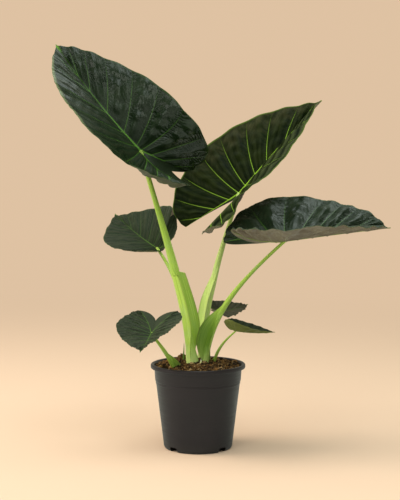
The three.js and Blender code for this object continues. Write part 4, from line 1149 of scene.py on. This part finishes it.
def makeSoilLook():
    # dark coir, with the crumbs' own tone from black-brown to bark
    look = soilShape
    material, tree, shader = startMaterial("pottingMix", {"Specular IOR Level": 0.25, "Roughness": 0.85})
    tone, fleck = addField(tree, "tone"), addNoise(tree, addPlace(tree), 330, 4, 0.65)
    colour = addLayers(
        tree, addMix(tree, addRange(tree, tone, 0.1, 0.75), look["dark"], look["bark"]),
        (addRange(tree, tone, 0.8, 1.0), 1, look["straw"]),
        (addRange(tree, fleck, 0.4, 0.72), 0.5, look["fleck"]),
    )
    setInputs(shader, {"Base Color": colour, "Normal": addBump(tree, fleck, 0.6)})
    return material


makeSoil(makeSoilLook())
print("alocasia: soil made")


# Floor, light and camera

studio = {  # places and sizes in m
    "floorRadius": 30.0, "floorColour": (0.9, 0.652, 0.495), "farColour": (0.735, 0.54, 0.365),
    "bounceColour": (0.42, 0.42, 0.33), "mirrorColour": (0.73, 0.76, 0.72),  # the floor as the plant sees it
    "farBounce": (0.4, 0.41, 0.35),
    "fadeStart": 0.5, "fadeEnd": 3.2,  # from the pot, where the floor melts into the backdrop
    "backLight": (0.54, 0.53, 0.42), "frontLight": (0.085, 0.1, 0.076), "topLight": (0.5, 0.54, 0.48),
    "lamps": [  # place, size, power in W, colour, and whether it is mirrored, as a highlight
        ((-4.2, 0.3, 3.0), 3.6, 164, (1.0, 0.88, 0.72), False),
        ((0.7, -3.6, 1.7), 1.7, 15, (0.92, 0.99, 0.84), True),
        ((-2.0, -3.1, 1.2), 1.5, 14, (0.92, 0.99, 0.84), True),
        ((0.6, -0.3, 3.3), 2.1, 27, (0.88, 0.98, 0.95), True),
        ((-1.9, -0.1, 2.9), 2.2, 12, (0.9, 0.98, 0.93), True),
        ((-3.0, -0.9, 0.6), 1.4, 9, (1.0, 0.96, 0.92), True),
        ((-0.2, -1.9, 2.7), 1.5, 12, (0.88, 0.98, 0.95), True),
        ((1.4, -0.9, 2.6), 1.0, 4, (0.95, 0.97, 0.9), True),
    ],
    "lookAt": (0.0, 0.0, 0.42),
}
view = {"place": (0.0044, -2.6, 0.62), "lookAt": (0.0044, 0.0, 0.44), "lens": 85, "sensor": 36}


def makeFloor():
    # a large disc, plain and pale near the pot, that melts into the backdrop's colour far away
    rim = ringPoints(studio["floorRadius"], fullTurn(96), 0)
    mesh = bpy.data.meshes.new("floor")
    mesh.from_pydata(rim.tolist(), [], [list(range(len(rim)))])
    floor = addObject("floor", mesh)
    material, tree, shader = startMaterial("floorPlain", {"Roughness": 0.9, "Specular IOR Level": 0.1})
    ray = addNode(tree, "ShaderNodeLightPath").outputs
    colour = addMix(tree, ray["Is Glossy Ray"], studio["bounceColour"], studio["mirrorColour"])
    colour = addMix(tree, ray["Is Camera Ray"], colour, studio["floorColour"])
    setInputs(shader, {"Base Color": colour})
    distance = addNode(tree, "ShaderNodeVectorMath", {0: addPlace(tree)}, operation="LENGTH")
    far = addRange(tree, distance.outputs["Value"], studio["fadeStart"], studio["fadeEnd"])
    farColour = addMix(tree, ray["Is Camera Ray"], studio["farBounce"], studio["farColour"])
    glow = addNode(tree, "ShaderNodeEmission", {"Color": farColour}).outputs[0]
    mixed = addNode(tree, "ShaderNodeMixShader", {0: far, 1: shader.outputs[0], 2: glow}).outputs[0]
    setInputs(tree.nodes["Material Output"], {"Surface": mixed})
    mesh.materials.append(material)


def aim(thing, target):
    # turns a lamp or the camera, which look along their own -Z, to the target
    thing.rotation_euler = (Vector(target) - thing.location).to_track_quat("-Z", "Y").to_euler()


def makeLamps():
    for i, (place, size, power, colour, mirrored) in enumerate(studio["lamps"]):
        light = bpy.data.lights.new(f"softbox{i}", "AREA")
        light.shape, light.size, light.energy, light.color = "DISK", size, power, colour
        holder = addObject(f"softbox{i}", light)
        holder.location = place
        holder.visible_glossy = mirrored
        aim(holder, studio["lookAt"])


def makeRoom():
    # a plain backdrop for the eye; the light is warm from behind, dimmer in front and cool from above
    world = bpy.data.worlds.new("studio")
    world.use_nodes = True
    tree = world.node_tree
    xyz = splitVector(tree, addNode(tree, "ShaderNodeTexCoord").outputs["Generated"])
    colour = addMix(tree, addRange(tree, xyz["Y"], -0.8, 0.7), studio["frontLight"], studio["backLight"])
    colour = addMix(tree, addRange(tree, xyz["Z"], 0.25, 0.9), colour, studio["topLight"])
    seen = addNode(tree, "ShaderNodeLightPath").outputs["Is Camera Ray"]
    setInputs(tree.nodes["Background"], {"Color": addMix(tree, seen, colour, studio["farColour"])})
    bpy.context.scene.world = world
    bpy.context.scene.view_settings.view_transform = "Standard"


def makeCamera():
    camera = bpy.data.cameras.new("view")
    camera.lens, camera.sensor_width = view["lens"], view["sensor"]
    holder = addObject("view", camera)
    holder.location = view["place"]
    aim(holder, view["lookAt"])
    bpy.context.scene.camera = holder


makeFloor()
makeLamps()
makeRoom()
makeCamera()
print("alocasia: studio ready")
